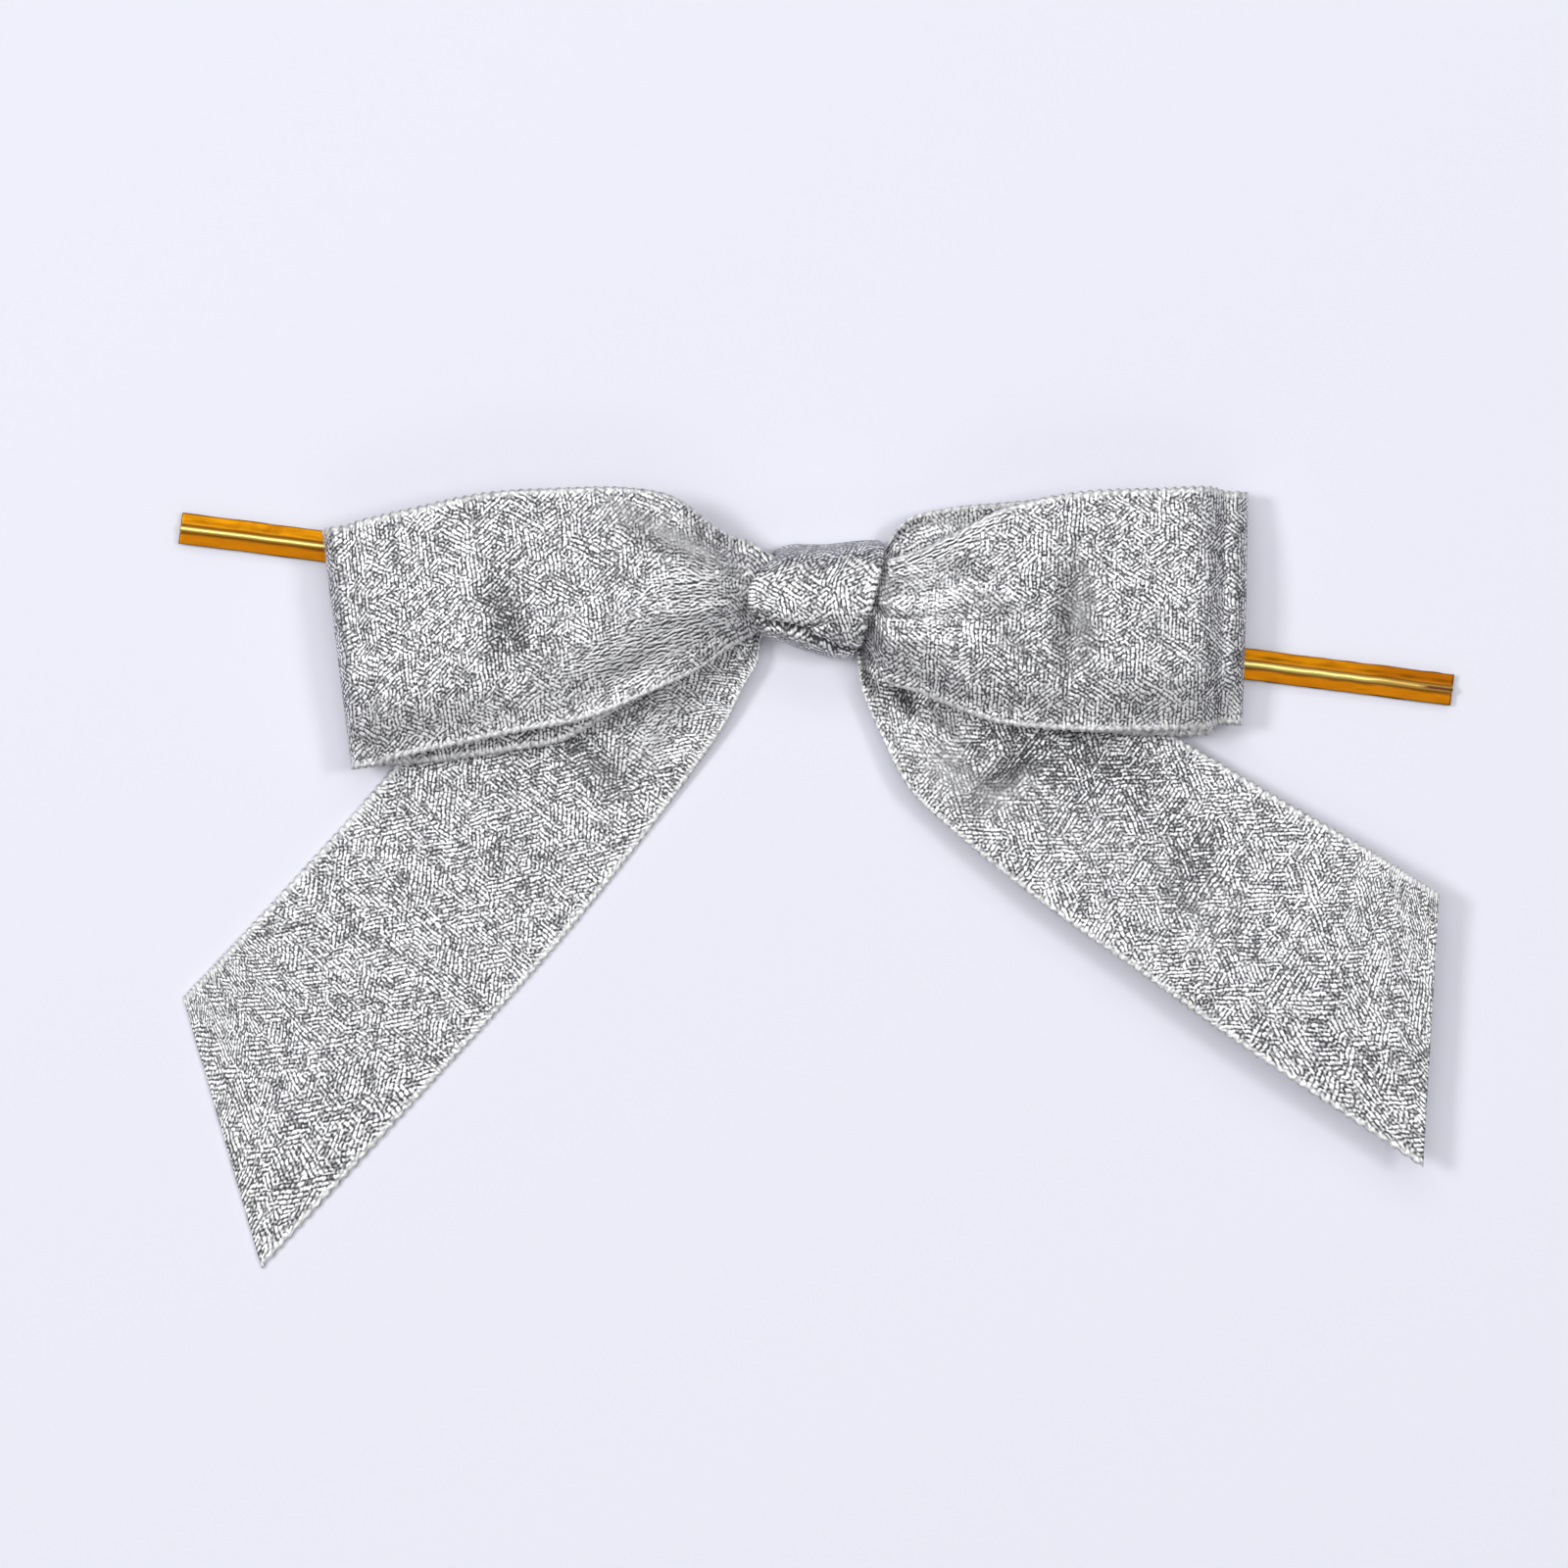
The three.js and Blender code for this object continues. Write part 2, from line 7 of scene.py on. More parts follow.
import bpy
import numpy as np
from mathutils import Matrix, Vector


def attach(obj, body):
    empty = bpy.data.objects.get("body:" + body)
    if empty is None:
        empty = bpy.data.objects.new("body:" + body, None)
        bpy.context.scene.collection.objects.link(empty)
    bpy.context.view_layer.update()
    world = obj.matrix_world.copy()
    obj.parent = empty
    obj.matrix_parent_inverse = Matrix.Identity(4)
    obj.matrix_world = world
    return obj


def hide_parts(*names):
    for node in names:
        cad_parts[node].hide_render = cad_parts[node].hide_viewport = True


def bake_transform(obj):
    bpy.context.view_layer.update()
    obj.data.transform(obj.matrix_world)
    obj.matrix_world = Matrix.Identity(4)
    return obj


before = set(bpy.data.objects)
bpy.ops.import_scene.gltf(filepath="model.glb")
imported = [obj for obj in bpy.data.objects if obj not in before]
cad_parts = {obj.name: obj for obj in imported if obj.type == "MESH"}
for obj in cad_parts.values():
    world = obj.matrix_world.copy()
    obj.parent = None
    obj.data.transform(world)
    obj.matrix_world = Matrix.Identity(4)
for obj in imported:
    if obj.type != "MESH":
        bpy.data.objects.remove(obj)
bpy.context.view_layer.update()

MM = 0.001

# Ribbon
RIBBON_WIDTH = 25
RIBBON_THICKNESS = 0.4
CLOTH_THICKNESS = 0.28
LAYER_GAP = 0.15

# Knot: reach of its front and back to each side, span and height at its narrow and its wide end
KNOT_LEFT_REACH = 7.2
KNOT_RIGHT_REACH = 6
KNOT_LEFT_BACK_REACH = 4.8
KNOT_RIGHT_BACK_REACH = 4
KNOT_NARROW_SPAN = 7.9
KNOT_WIDE_SPAN = 12.4
KNOT_NARROW_HEIGHT = 7.6
KNOT_WIDE_HEIGHT = 9.2
KNOT_END_LEAN = 0.25

# Loops and tails: reach or length, heading from +X in degrees, angle of the cut
LEFT_LOOP_REACH = 43.3
RIGHT_LOOP_REACH = 38.9
LEFT_LOOP_HEADING = 187
RIGHT_LOOP_HEADING = -1.5
LOOP_HEIGHT = 4.4
LOOP_FOLD_RADIUS = 2.4
LEFT_TAIL_LENGTH = 80.4
RIGHT_TAIL_LENGTH = 75.2
LEFT_TAIL_HEADING = 228
RIGHT_TAIL_HEADING = -32
LEFT_TAIL_CUT = 31.8
RIGHT_TAIL_CUT = 28.6
RIGHT_TAIL_LIFT = 2.8
PLEAT_COUNT = 3
PLEAT_RISE = 0.25

# Twist tie
TIE_LENGTH = 135
TIE_WIDTH = 3.25
TIE_SLOPE = -7.26
TIE_OFFSET = -1
WIRE_DIAMETER = 0.5
FILM_THICKNESS = 0.12
FILM_GAP = 0.03
TIE_MIDDLE_LENGTH = 16.4
LEFT_BEND_SPACING = 17
RIGHT_BEND_SPACING = 14
BEND_GAP = 0.06

RIBBON_HALF = RIBBON_WIDTH / 2
TIE_BASE = RIBBON_THICKNESS + LAYER_GAP
WIRE_SEAT = TIE_BASE + FILM_THICKNESS + FILM_GAP
TIE_TOP = WIRE_SEAT + WIRE_DIAMETER + FILM_GAP + FILM_THICKNESS
LAYER_PITCH = RIBBON_THICKNESS + 2 * LAYER_GAP + PLEAT_RISE / 2
TAIL_LEVEL = TIE_TOP + LAYER_GAP + PLEAT_RISE + RIBBON_THICKNESS / 2
BACK_LEVEL = TAIL_LEVEL + LAYER_PITCH
GATHERED_HALF = KNOT_NARROW_SPAN / 2 - RIBBON_THICKNESS - 2 * LAYER_GAP
CORE_BASE = BACK_LEVEL + PLEAT_RISE + RIBBON_THICKNESS / 2 + LAYER_GAP
FRONT_ROOM = KNOT_NARROW_HEIGHT - RIBBON_THICKNESS - 2 * LAYER_GAP - CORE_BASE
FRONT_EDGE_LEVEL = CORE_BASE + FRONT_ROOM * 0.25
FRONT_CROWN = FRONT_ROOM * 0.62
FLAT_LEVEL = RIBBON_THICKNESS / 2

# Fineness of the visible cloth: rows along it, columns across its middle, and the shares of the width
# at which the columns of a woven edge stand
ROW_PITCH = 0.15
INNER_COLUMNS = 45
EDGE_SHARES = np.array([0, 0.012, 0.024, 0.036])
CURVE_SAMPLES = 60

# Woven edge: pitch, reach and root of its looped threads, and the rise and width of its bead
PICOT_PITCH = 0.98
PICOT_REACH = 0.24
PICOT_ROOT = 0.9
SELVEDGE_BEAD = 0.2
SELVEDGE_WIDTH = 0.4

# How far apart the weaves of two pieces are taken from one pattern
SEED_SPACING = 150


def wave(angle_degrees):
    """Cosine and sine of an angle in degrees."""
    angle = math.radians(angle_degrees)
    return math.cos(angle), math.sin(angle)


def blend_between(low, high, share):
    """The value at share of the way from low to high."""
    return low + (high - low) * share


# The ribbon's stations


def frame_at(x, y, heading, upward):
    """A flat frame at the knot's mouth. The ribbon's upper edge lies on the side that upward names."""
    cos, sin = wave(heading)
    ahead = np.array([cos, sin, 0])
    across = np.array([-sin, cos, 0]) * upward
    return np.array([x, y, 0.0]), ahead, across


def place(mouth, along, across, z):
    """A point of the ribbon in the bow's frame."""
    origin, ahead, side = mouth
    point = origin + ahead * along + side * across
    point[2] = z
    return point


def stations_from(lines, mouth, reach, base, height):
    """Stations from a table of shares: along the reach, sideways by ribbon widths, spread from
    gathered 0 to flat 1, turn in degrees, rise of the upper and the lower edge by the given height,
    crown by ribbon widths, and pleats by the knot's pleats."""
    stations = []
    for along, aside, spread, turn, upper_rise, lower_rise, crown, pleat in lines:
        half = GATHERED_HALF + spread * (RIBBON_HALF - GATHERED_HALF)
        cos, sin = wave(turn)
        middle = aside * RIBBON_WIDTH
        upper = place(mouth, along * reach + half * sin, middle + half * cos, base + upper_rise * height)
        lower = place(mouth, along * reach - half * sin, middle - half * cos, base + lower_rise * height)
        stations.append((upper, lower, crown * RIBBON_WIDTH, pleat * PLEAT_RISE))
    return stations


def gathered_stations(side, level, crown):
    """Stations inside the knot, where the ribbon is gathered and runs along X to the mouth."""
    reach = KNOT_LEFT_BACK_REACH if side < 0 else KNOT_RIGHT_BACK_REACH
    stations = []
    for depth in (LAYER_GAP * 2, reach * 0.45, reach * 0.85):
        upper = np.array([side * depth, GATHERED_HALF, level])
        lower = np.array([side * depth, -GATHERED_HALF, level])
        stations.append((upper, lower, crown, PLEAT_RISE))
    return stations


def fold_stations(mouth, reach, height, fold):
    """The half turn of a loop's outer fold, from its back layer round to its front layer."""
    aside, spread, upper_rise, lower_rise, crown = fold
    half = GATHERED_HALF + spread * (RIBBON_HALF - GATHERED_HALF)
    middle = aside * RIBBON_WIDTH
    steps = 6
    stations = []
    for step in range(steps + 1):
        angle = math.pi * step / steps
        along = reach + LOOP_FOLD_RADIUS * (math.sin(angle) - 1)
        lift = BACK_LEVEL + LOOP_FOLD_RADIUS * (1 - math.cos(angle))
        upper = place(mouth, along, middle + half, lift + upper_rise * height)
        lower = place(mouth, along, middle - half, lift + lower_rise * height)
        stations.append((upper, lower, crown * RIBBON_WIDTH, 0))
    return stations


def loop_stations(side, mouth, reach, back, fold, front):
    """A loop's stations, and the share of them at which its front layer starts."""
    first = gathered_stations(side, BACK_LEVEL, 0)
    first += stations_from(back, mouth, reach, BACK_LEVEL, LOOP_HEIGHT)
    turn = fold_stations(mouth, reach, LOOP_HEIGHT, fold)
    last = stations_from(front, mouth, reach, FRONT_EDGE_LEVEL, LOOP_HEIGHT)
    last += gathered_stations(side, FRONT_EDGE_LEVEL, FRONT_CROWN)[::-1]
    stations = first + turn + last
    return stations, (len(first) + len(turn) / 2) / (len(stations) - 1)


def tail_stations(side, mouth, length, lines, end, cut, end_level, height):
    """A tail's stations, to its free end cut at an angle."""
    stations = gathered_stations(side, TAIL_LEVEL, 0)
    stations += stations_from(lines, mouth, length, TAIL_LEVEL, height)
    along, aside = end
    slant = RIBBON_HALF * math.tan(math.radians(cut))
    middle = aside * RIBBON_WIDTH
    upper = place(mouth, along * length - slant, middle + RIBBON_HALF, end_level)
    lower = place(mouth, along * length + slant, middle - RIBBON_HALF, end_level)
    stations.append((upper, lower, 0, 0))
    return stations


LEFT_MOUTH = frame_at(-KNOT_LEFT_REACH, 0, LEFT_LOOP_HEADING, -1)
RIGHT_MOUTH = frame_at(KNOT_RIGHT_REACH, 0, RIGHT_LOOP_HEADING, 1)
LEFT_TAIL_MOUTH = frame_at(-KNOT_LEFT_BACK_REACH, 0, LEFT_TAIL_HEADING, -1)
RIGHT_TAIL_MOUTH = frame_at(KNOT_RIGHT_BACK_REACH, 0, RIGHT_TAIL_HEADING, 1)

LEFT_BACK = [
    (0.02, 0, 0.02, 0, 0.03, 0.03, 0, 1),
    (0.12, 0.05, 0.38, 0, 0.06, 0.03, 0.012, 1.1),
    (0.25, 0.05, 0.62, 0, 0, -0.04, 0.02, 1),
    (0.4, 0.036, 0.924, 0, -0.05, -0.1, 0.024, 0.5),
    (0.5, -0.004, 0.984, 0, -0.08, -0.13, 0.024, 0.3),
    (0.6, -0.007, 1, 0, -0.12, -0.17, 0.024, 0.1),
    (0.8, -0.014, 1, 0, -0.19, -0.26, 0.02, 0),
    (0.91, -0.006, 1, 0, -0.23, -0.34, 0.02, 0),
]
LEFT_FOLD = (0, 1, -0.24, -0.37, 0.02)
LEFT_FRONT = [
    (0.9, 0.016, 1, 0, 0.7, 0.64, 0.024, 0),
    (0.78, 0.036, 1, 0, 0.88, 0.84, 0.028, 0),
    (0.6, 0.063, 1, 0, 1, 0.97, 0.03, 0.1),
    (0.42, 0.065, 0.948, 0, 1, 0.98, 0.036, 0.3),
    (0.26, 0.088, 0.805, 0, 0.86, 0.84, 0.056, 0.6),
    (0.15, 0.09, 0.638, 0, 0.62, 0.6, 0.08, 0.9),
    (0.06, 0.056, 0.33, 0, 0.28, 0.28, 0.085, 1),
    (0.005, 0.02, 0.12, 0, 0, -0.03, 0.085, 1),
    (-0.042, 0, -0.02, 0, -0.04, -0.04, 0.085, 1),
]
RIGHT_BACK = [
    (0.01, 0.02, 0.09, 0, 0.03, 0.03, 0, 1),
    (0.08, 0.06, 0.384, 0, 0.04, 0.07, 0.008, 1.1),
    (0.19, 0.022, 0.638, 0, 0.02, 0.14, 0.012, 1),
    (0.31, -0.014, 0.8, 0, 0, 0.2, 0.016, 0.7),
    (0.54, -0.038, 0.95, 0, -0.1, 0.18, 0.016, 0.2),
    (0.77, -0.038, 1, 0, -0.26, 0.02, 0.04, 0),
    (0.92, -0.02, 1, 0, -0.42, -0.34, 0.065, 0),
]
RIGHT_FOLD = (0, 0.95, -0.49, -0.575, 0.078)
RIGHT_FRONT = [
    (0.89, -0.004, 1, 0, 0.68, 0.62, 0.066, 0),
    (0.76, -0.018, 1, 0, 0.95, 0.91, 0.044, 0),
    (0.55, -0.034, 0.984, 0, 1.04, 1.02, 0.034, 0.1),
    (0.34, -0.06, 0.85, 0, 0.98, 0.96, 0.05, 0.4),
    (0.24, -0.078, 0.67, 0, 0.86, 0.84, 0.066, 0.6),
    (0.13, -0.088, 0.46, 0, 0.56, 0.54, 0.08, 0.8),
    (0.04, -0.09, 0.335, 0, 0.56, 0.5, 0.075, 1),
    (0, -0.036, 0.16, 0, 0.36, 0.3, 0.075, 1),
]
LEFT_TAIL = [
    (0.021, 0.036, -0.006, -31, 0, 0, 0, 1),
    (0.053, 0.047, 0.17, -19.6, 0, 0, 0, 1),
    (0.1075, 0.106, 0.375, -2.4, 0.1, 0.12, 0.008, 1.1),
    (0.1715, 0.183, 0.71, 5.9, 0.5, 0.45, 0.02, 1.1),
    (0.257, 0.231, 0.935, 7.8, 0.8, 0.76, 0.016, 0.8),
    (0.376, 0.224, 1, 3.5, 1, 1, 0.004, 0.3),
    (0.536, 0.2, 1, 1.1, 1, 1, 0, 0),
    (0.785, 0.204, 1, 0, 1, 1, 0, 0),
]
LEFT_TAIL_END = (1, 0.214)
RIGHT_TAIL = [
    (0.025, -0.01, 0.13, -15.5, 0, 0, 0, 1),
    (0.07, -0.063, 0.29, -2.9, -0.02, 0.04, 0, 1),
    (0.138, -0.12, 0.479, 2.9, -0.06, 0.14, 0.004, 1),
    (0.217, -0.18, 0.665, 5.2, -0.08, 0.28, 0.008, 1),
    (0.31, -0.2, 0.762, 6.8, -0.08, 0.42, 0.012, 0.6),
    (0.448, -0.22, 0.845, 3.6, -0.04, 0.6, 0.02, 0.3),
    (0.627, -0.232, 0.897, 2, 0.4, 0.8, 0.03, 0),
    (0.789, -0.24, 0.963, 1, 0.75, 0.95, 0.02, 0),
]
RIGHT_TAIL_END = (1, -0.255)

# Soft hollows and ridges of the cloth, as the bow lies: middle, half length and half width, angle
# from +X in degrees, and depth, which is negative on a ridge
LEFT_LOOP_FORMS = [
    (-32.4, -3, 5.2, 1.7, 98, 1.1),
    (-19.4, -7.6, 3.6, 1.6, 35, 0.7),
    (-14.6, 5.4, 7.5, 1.4, -30, 0.6),
    (-17.6, -0.6, 8, 1.5, 8, -0.25),
    (-42, 2.5, 5, 2.4, 60, 0.25),
    (-49.6, -3, 15, 2.6, 97, -0.8),
]
RIGHT_LOOP_FORMS = [
    (27, -2.6, 7.4, 1.9, 88, 1.5),
    (17.3, 1.2, 5.6, 1.2, -22, -0.4),
    (20.4, -5.2, 3, 1.4, -55, 0.45),
    (33.5, 5, 4.5, 2.5, 40, 0.25),
    (13.5, -8.2, 5, 1, -20, -0.3),
]
LEFT_TAIL_FORMS = [
    (-23.6, -17.6, 4, 1.3, -41, 0.45),
    (-17, -14, 4.5, 1, 57, -0.2),
]
RIGHT_TAIL_FORMS = [
    (9.8, -10.4, 2.2, 1.2, -50, 1.2),
    (19.7, -18.5, 3.8, 1.1, 40, 0.8),
    (39.2, -29.6, 5.5, 2.6, 62, 1.2),
    (28.5, -23, 6, 1.6, -30, -0.2),
]
# Where the metal threads lie flat and show as plain satin, whose tone is also painted light: a positive
# share dulls the weave and paints shade in hollows, valleys and where the cloth slopes away, and a
# negative share makes the satin a pale one that paints a highlight. Each row: middle, half sizes,
# angle, and share
LEFT_LOOP_SATIN_PAINTED_LIGHT = [
    (-14.5, 6.2, 7, 1.4, -28, 0.8),
    (-15.5, 8.6, 5, 0.6, -28, -0.5),
    (-22, 9, 3, 2, 0, 0.35),
    (-32.4, -3, 4, 1.4, 98, 0.3),
]
RIGHT_LOOP_SATIN_PAINTED_LIGHT = [
    (15.3, 0.6, 5.5, 1.3, -20, -0.2),
    (27.4, -2, 7, 1.9, 88, 0.75),
    (20.9, -5.4, 3, 1.2, -55, 0.5),
    (12.6, 7.4, 4, 1.2, 22, -0.35),
    (7.2, -1, 0.5, 5, -4, 0.6),
]
LEFT_TAIL_SATIN_PAINTED_SHADE = [(-23, -18, 4, 1.6, -41, 0.5)]
RIGHT_TAIL_SATIN_PAINTED_SHADE = [
    (14.8, -18.3, 5.5, 3.2, -50, 0.6),
    (20.5, -19.5, 4.5, 1.8, 35, 0.5),
    (27.5, -24.5, 7, 4, -35, 0.3),
    (39.5, -32, 5, 3.6, -35, 0.42),
]
# Where the threads show as long lines that follow the ribbon: middle, half sizes, angle, and share,
# which is negative where it darkens the weave as painted shade in hollows, recesses and along the
# loops' outer folds
LEFT_LOOP_LINES_AND_SHADE = [
    (-20, -6.5, 8, 3, 22, 1),
    (-13, 1, 5, 6, 0, 0.7),
    (-32.4, -3, 4.5, 1.8, 98, -0.7),
    (-24.5, -9, 4, 1.4, 25, -0.5),
    (-51, -3, 14, 0.5, 97, -0.8),
]
RIGHT_LOOP_LINES_AND_SHADE = [
    (14, 6, 8, 1.6, 28, 0.9),
    (12.5, -1, 4, 4, 0, 0.45),
    (27.2, -2.4, 6.4, 1.7, 88, -0.6),
    (20.9, -5.4, 3.2, 1.2, -55, -0.4),
    (45, -1.3, 14, 0.7, 90, -0.8),
]
LEFT_TAIL_LINES_AND_SHADE = [(-17, -13, 5, 3, 50, 0.5), (-23.6, -17.4, 4, 1.6, -41, -0.7)]
RIGHT_TAIL_LINES_AND_SHADE = [
    (12, -14, 5, 3, -60, 0.5),
    (19.7, -18.6, 4.2, 1.1, 40, -0.8),
    (39, -29.6, 5.5, 2.2, 62, -0.5),
    (9.6, -10.6, 2.2, 1.4, -50, -1),
    (27, -18, 12, 4, -25, -0.4),
]
# How far the lower edge of a loop's front layer droops, and how wide a stretch of it does, in shares
# of the ribbon's width
EDGE_DROOP = 0.036
EDGE_DROOP_WIDTH = 0.22
# How far the left loop's upper edge stands out beside the knot, the middle and the half length of that
# stretch, and the distances from the bow's middle between which it starts
WAIST_FULLNESS = 2
WAIST_MIDDLE = -6.5
WAIST_HALF = 2.6
WAIST_START = (2.5, 4.5)
# The share of a loop's stations over which its back layer becomes its front layer
LAYER_CHANGE_SHARE = 0.06
# Rise of the ripples in a stretch that stands free and in one that lies flat, their shortest and
# longest waves, and the rise of the fine creases at the knot
RIPPLE_RISE = 0.1
FLAT_RIPPLE_RISE = 0.05
RIPPLE_WAVES = (5, 14)
FINE_PLEAT_RISE = 0.14


# Surfaces


def curve_through(points, places):
    """Points on the centripetal curve through the given points, at places from 0 to 1."""
    points = np.asarray(points, float)
    count = len(points)
    padded = np.vstack([2 * points[0] - points[1], points, 2 * points[-1] - points[-2]])
    position = np.asarray(places, float) * (count - 1)
    index = np.minimum(position.astype(int), count - 2)
    weight = (position - index)[:, None]
    p0, p1, p2, p3 = (padded[index + offset] for offset in range(4))

    def spacing(a, b):
        return (((a - b) ** 2).sum(1) ** 0.25)[:, None]

    dt0, dt1, dt2 = spacing(p0, p1), spacing(p1, p2), spacing(p2, p3)
    smallest = 1e-4
    dt1 = np.where(dt1 < smallest, 1, dt1)
    dt0 = np.where(dt0 < smallest, dt1, dt0)
    dt2 = np.where(dt2 < smallest, dt1, dt2)
    start = ((p1 - p0) / dt0 - (p2 - p0) / (dt0 + dt1) + (p2 - p1) / dt1) * dt1
    end = ((p2 - p1) / dt1 - (p3 - p1) / (dt1 + dt2) + (p3 - p2) / dt2) * dt1
    square = weight**2
    cube = weight**3
    bend = 3 * (p2 - p1) - 2 * start - end
    twist = 2 * (p1 - p2) + start + end
    return p1 + start * weight + bend * square + twist * cube


def column_shares():
    """Shares across the ribbon, closer together in its woven edges."""
    inner = np.linspace(0.05, 0.95, INNER_COLUMNS)
    return np.concatenate([EDGE_SHARES, inner, 1 - EDGE_SHARES[::-1]])


def even_places(line, fine, count=None):
    """Places at even steps along a line that is sampled at fine places, and the length up to each.
    Without a count they lie about a row's pitch apart."""
    steps = np.linalg.norm(np.diff(line, axis=0), axis=1)
    lengths = np.concatenate([[0], np.cumsum(steps)])
    count = count or int(round(lengths[-1] / ROW_PITCH)) + 1
    even = np.linspace(0, lengths[-1], count)
    return np.interp(even, lengths, fine), even


def ribbon_rows(stations):
    """Evenly spaced rows of a ribbon: its two edges, crown and pleats, length and station share."""
    upper_points, lower_points, crowns, pleats = zip(*stations)
    fine = np.linspace(0, 1, CURVE_SAMPLES * (len(stations) - 1) + 1)
    middle = (curve_through(upper_points, fine) + curve_through(lower_points, fine)) / 2
    places, lengths = even_places(middle, fine)
    upper = curve_through(upper_points, places)
    lower = curve_through(lower_points, places)
    crown, pleat = curve_through(list(zip(crowns, pleats)), places).T
    return upper, lower, crown, pleat, lengths, places


def undulation(x, y, seed, shortest, longest, count=9):
    """A smooth random field between about -1 and 1, with waves between two lengths."""
    random = np.random.default_rng(seed)
    total = np.zeros_like(x)
    for _ in range(count):
        cos, sin = wave(random.uniform(0, 360))
        length = random.uniform(shortest, longest)
        total += np.sin(2 * math.pi * ((x * cos + y * sin) / length + random.uniform(0, 1)))
    return total / math.sqrt(count)


def soft_forms(x, y, forms):
    """How far hollows and ridges lower the cloth at each point."""
    total = np.zeros_like(x)
    for middle_x, middle_y, half_length, half_width, angle, depth in forms:
        cos, sin = wave(angle)
        along = (x - middle_x) * cos + (y - middle_y) * sin
        across = (y - middle_y) * cos - (x - middle_x) * sin
        total += depth * np.exp(-((along / half_length) ** 2) - (across / half_width) ** 2)
    return total


def smooth_step(value, low, high):
    """0 below low, 1 above high, and smooth between them."""
    share = np.clip((value - low) / (high - low), 0, 1)
    return share * share * (3 - 2 * share)


def bell(offset, half_width):
    """1 where the offset is 0, falling smoothly to almost 0 at twice the half width."""
    return np.exp(-((offset / half_width) ** 2))


def stacked(*values):
    """Numbers and arrays, spread to one shape, as the last axis of a grid."""
    return np.stack(np.broadcast_arrays(*values), -1)


def grid_normals(points):
    """Unit normals of a grid of points."""
    along = np.gradient(points, axis=0)
    across = np.gradient(points, axis=1)
    normals = np.cross(along, across)
    return normals / np.maximum(np.linalg.norm(normals, axis=2, keepdims=True), 1e-12)


def link_mesh(name, vertices, faces):
    """A smooth object of points in millimetres, linked to the scene."""
    mesh = bpy.data.meshes.new(name)
    mesh.from_pydata((vertices * MM).tolist(), [], faces)
    mesh.shade_smooth()
    piece = bpy.data.objects.new(name, mesh)
    bpy.context.scene.collection.objects.link(piece)
    return piece


def sheet_mesh(name, points, cloth, thickness, weave=None):
    """A closed thin solid whose middle surface is the grid. Its points carry cloth coordinates, and
    on the ribbon how the weave shows there: distance from an edge, a satin share that paints shade
    and highlights, and a share of long lines whose negative part paints shade."""
    rows, columns = points.shape[:2]
    normals = grid_normals(points)
    half = np.broadcast_to(np.asarray(thickness)[..., None] / 2, points.shape)
    sides = [points + normals * half, points - normals * half]
    vertices = np.concatenate([side.reshape(-1, 3) for side in sides])
    index = np.arange(rows * columns).reshape(rows, columns)
    under = index + rows * columns
    a, b, c, d = index[:-1, :-1], index[1:, :-1], index[1:, 1:], index[:-1, 1:]
    e, f, g, h = under[:-1, :-1], under[1:, :-1], under[1:, 1:], under[:-1, 1:]
    quads = [
        np.stack([a, b, c, d], -1).reshape(-1, 4),
        np.stack([e, h, g, f], -1).reshape(-1, 4),
        np.stack([index[:-1, 0], under[:-1, 0], under[1:, 0], index[1:, 0]], -1),
        np.stack([index[:-1, -1], index[1:, -1], under[1:, -1], under[:-1, -1]], -1),
        np.stack([index[0, :-1], index[0, 1:], under[0, 1:], under[0, :-1]], -1),
        np.stack([index[-1, :-1], under[-1, :-1], under[-1, 1:], index[-1, 1:]], -1),
    ]
    faces = np.concatenate(quads)
    p, q, r = vertices[faces[:, 0]], vertices[faces[:, 1]], vertices[faces[:, 2]]
    if np.einsum("ij,ij->i", p, np.cross(q, r)).sum() < 0:
        faces = faces[:, ::-1]
    piece = link_mesh(name, vertices, faces.tolist())
    for label, values in (("cloth", cloth), ("weave", weave)):
        if values is not None:
            attribute = piece.data.attributes.new(label, "FLOAT_VECTOR", "POINT")
            both = np.concatenate([values.reshape(-1, 3)] * 2)
            attribute.data.foreach_set("vector", both.astype(np.float32).ravel())
    return piece


def add_picots(points, lengths, shares, amount):
    """Pushes the outermost columns out into the looped threads of a woven edge."""
    across = points[:, -1] - points[:, 0]
    width = np.linalg.norm(across, axis=1, keepdims=True)
    outward = across / np.maximum(width, 1e-9)
    turns = 0.5 - 0.5 * np.cos(2 * math.pi * lengths / PICOT_PITCH)
    depth = np.minimum(shares, 1 - shares) * RIBBON_WIDTH
    reach = PICOT_REACH * np.clip(1 - depth / PICOT_ROOT, 0, 1) * np.sign(shares - 0.5)
    push = reach[None, :] * turns[:, None] * amount[:, None]
    points += outward[:, None] * push[:, :, None]


def fine_pleats(lengths, shares, seed, amount):
    """Narrow creases that fan out of the knot, each strongest at a depth of its own."""
    random = np.random.default_rng(seed)
    across = shares[None, :]
    total = np.zeros((len(lengths), len(shares)))
    for count in (5, 7, 9, 12):
        phase = random.uniform(0, 2 * math.pi)
        drift = random.uniform(-0.6, 0.6)
        bend = drift * np.sin(lengths / RIBBON_WIDTH * 3)[:, None]
        total += np.sin(2 * math.pi * count * across + phase + bend) * 1.6 / count
    return total * amount[:, None]


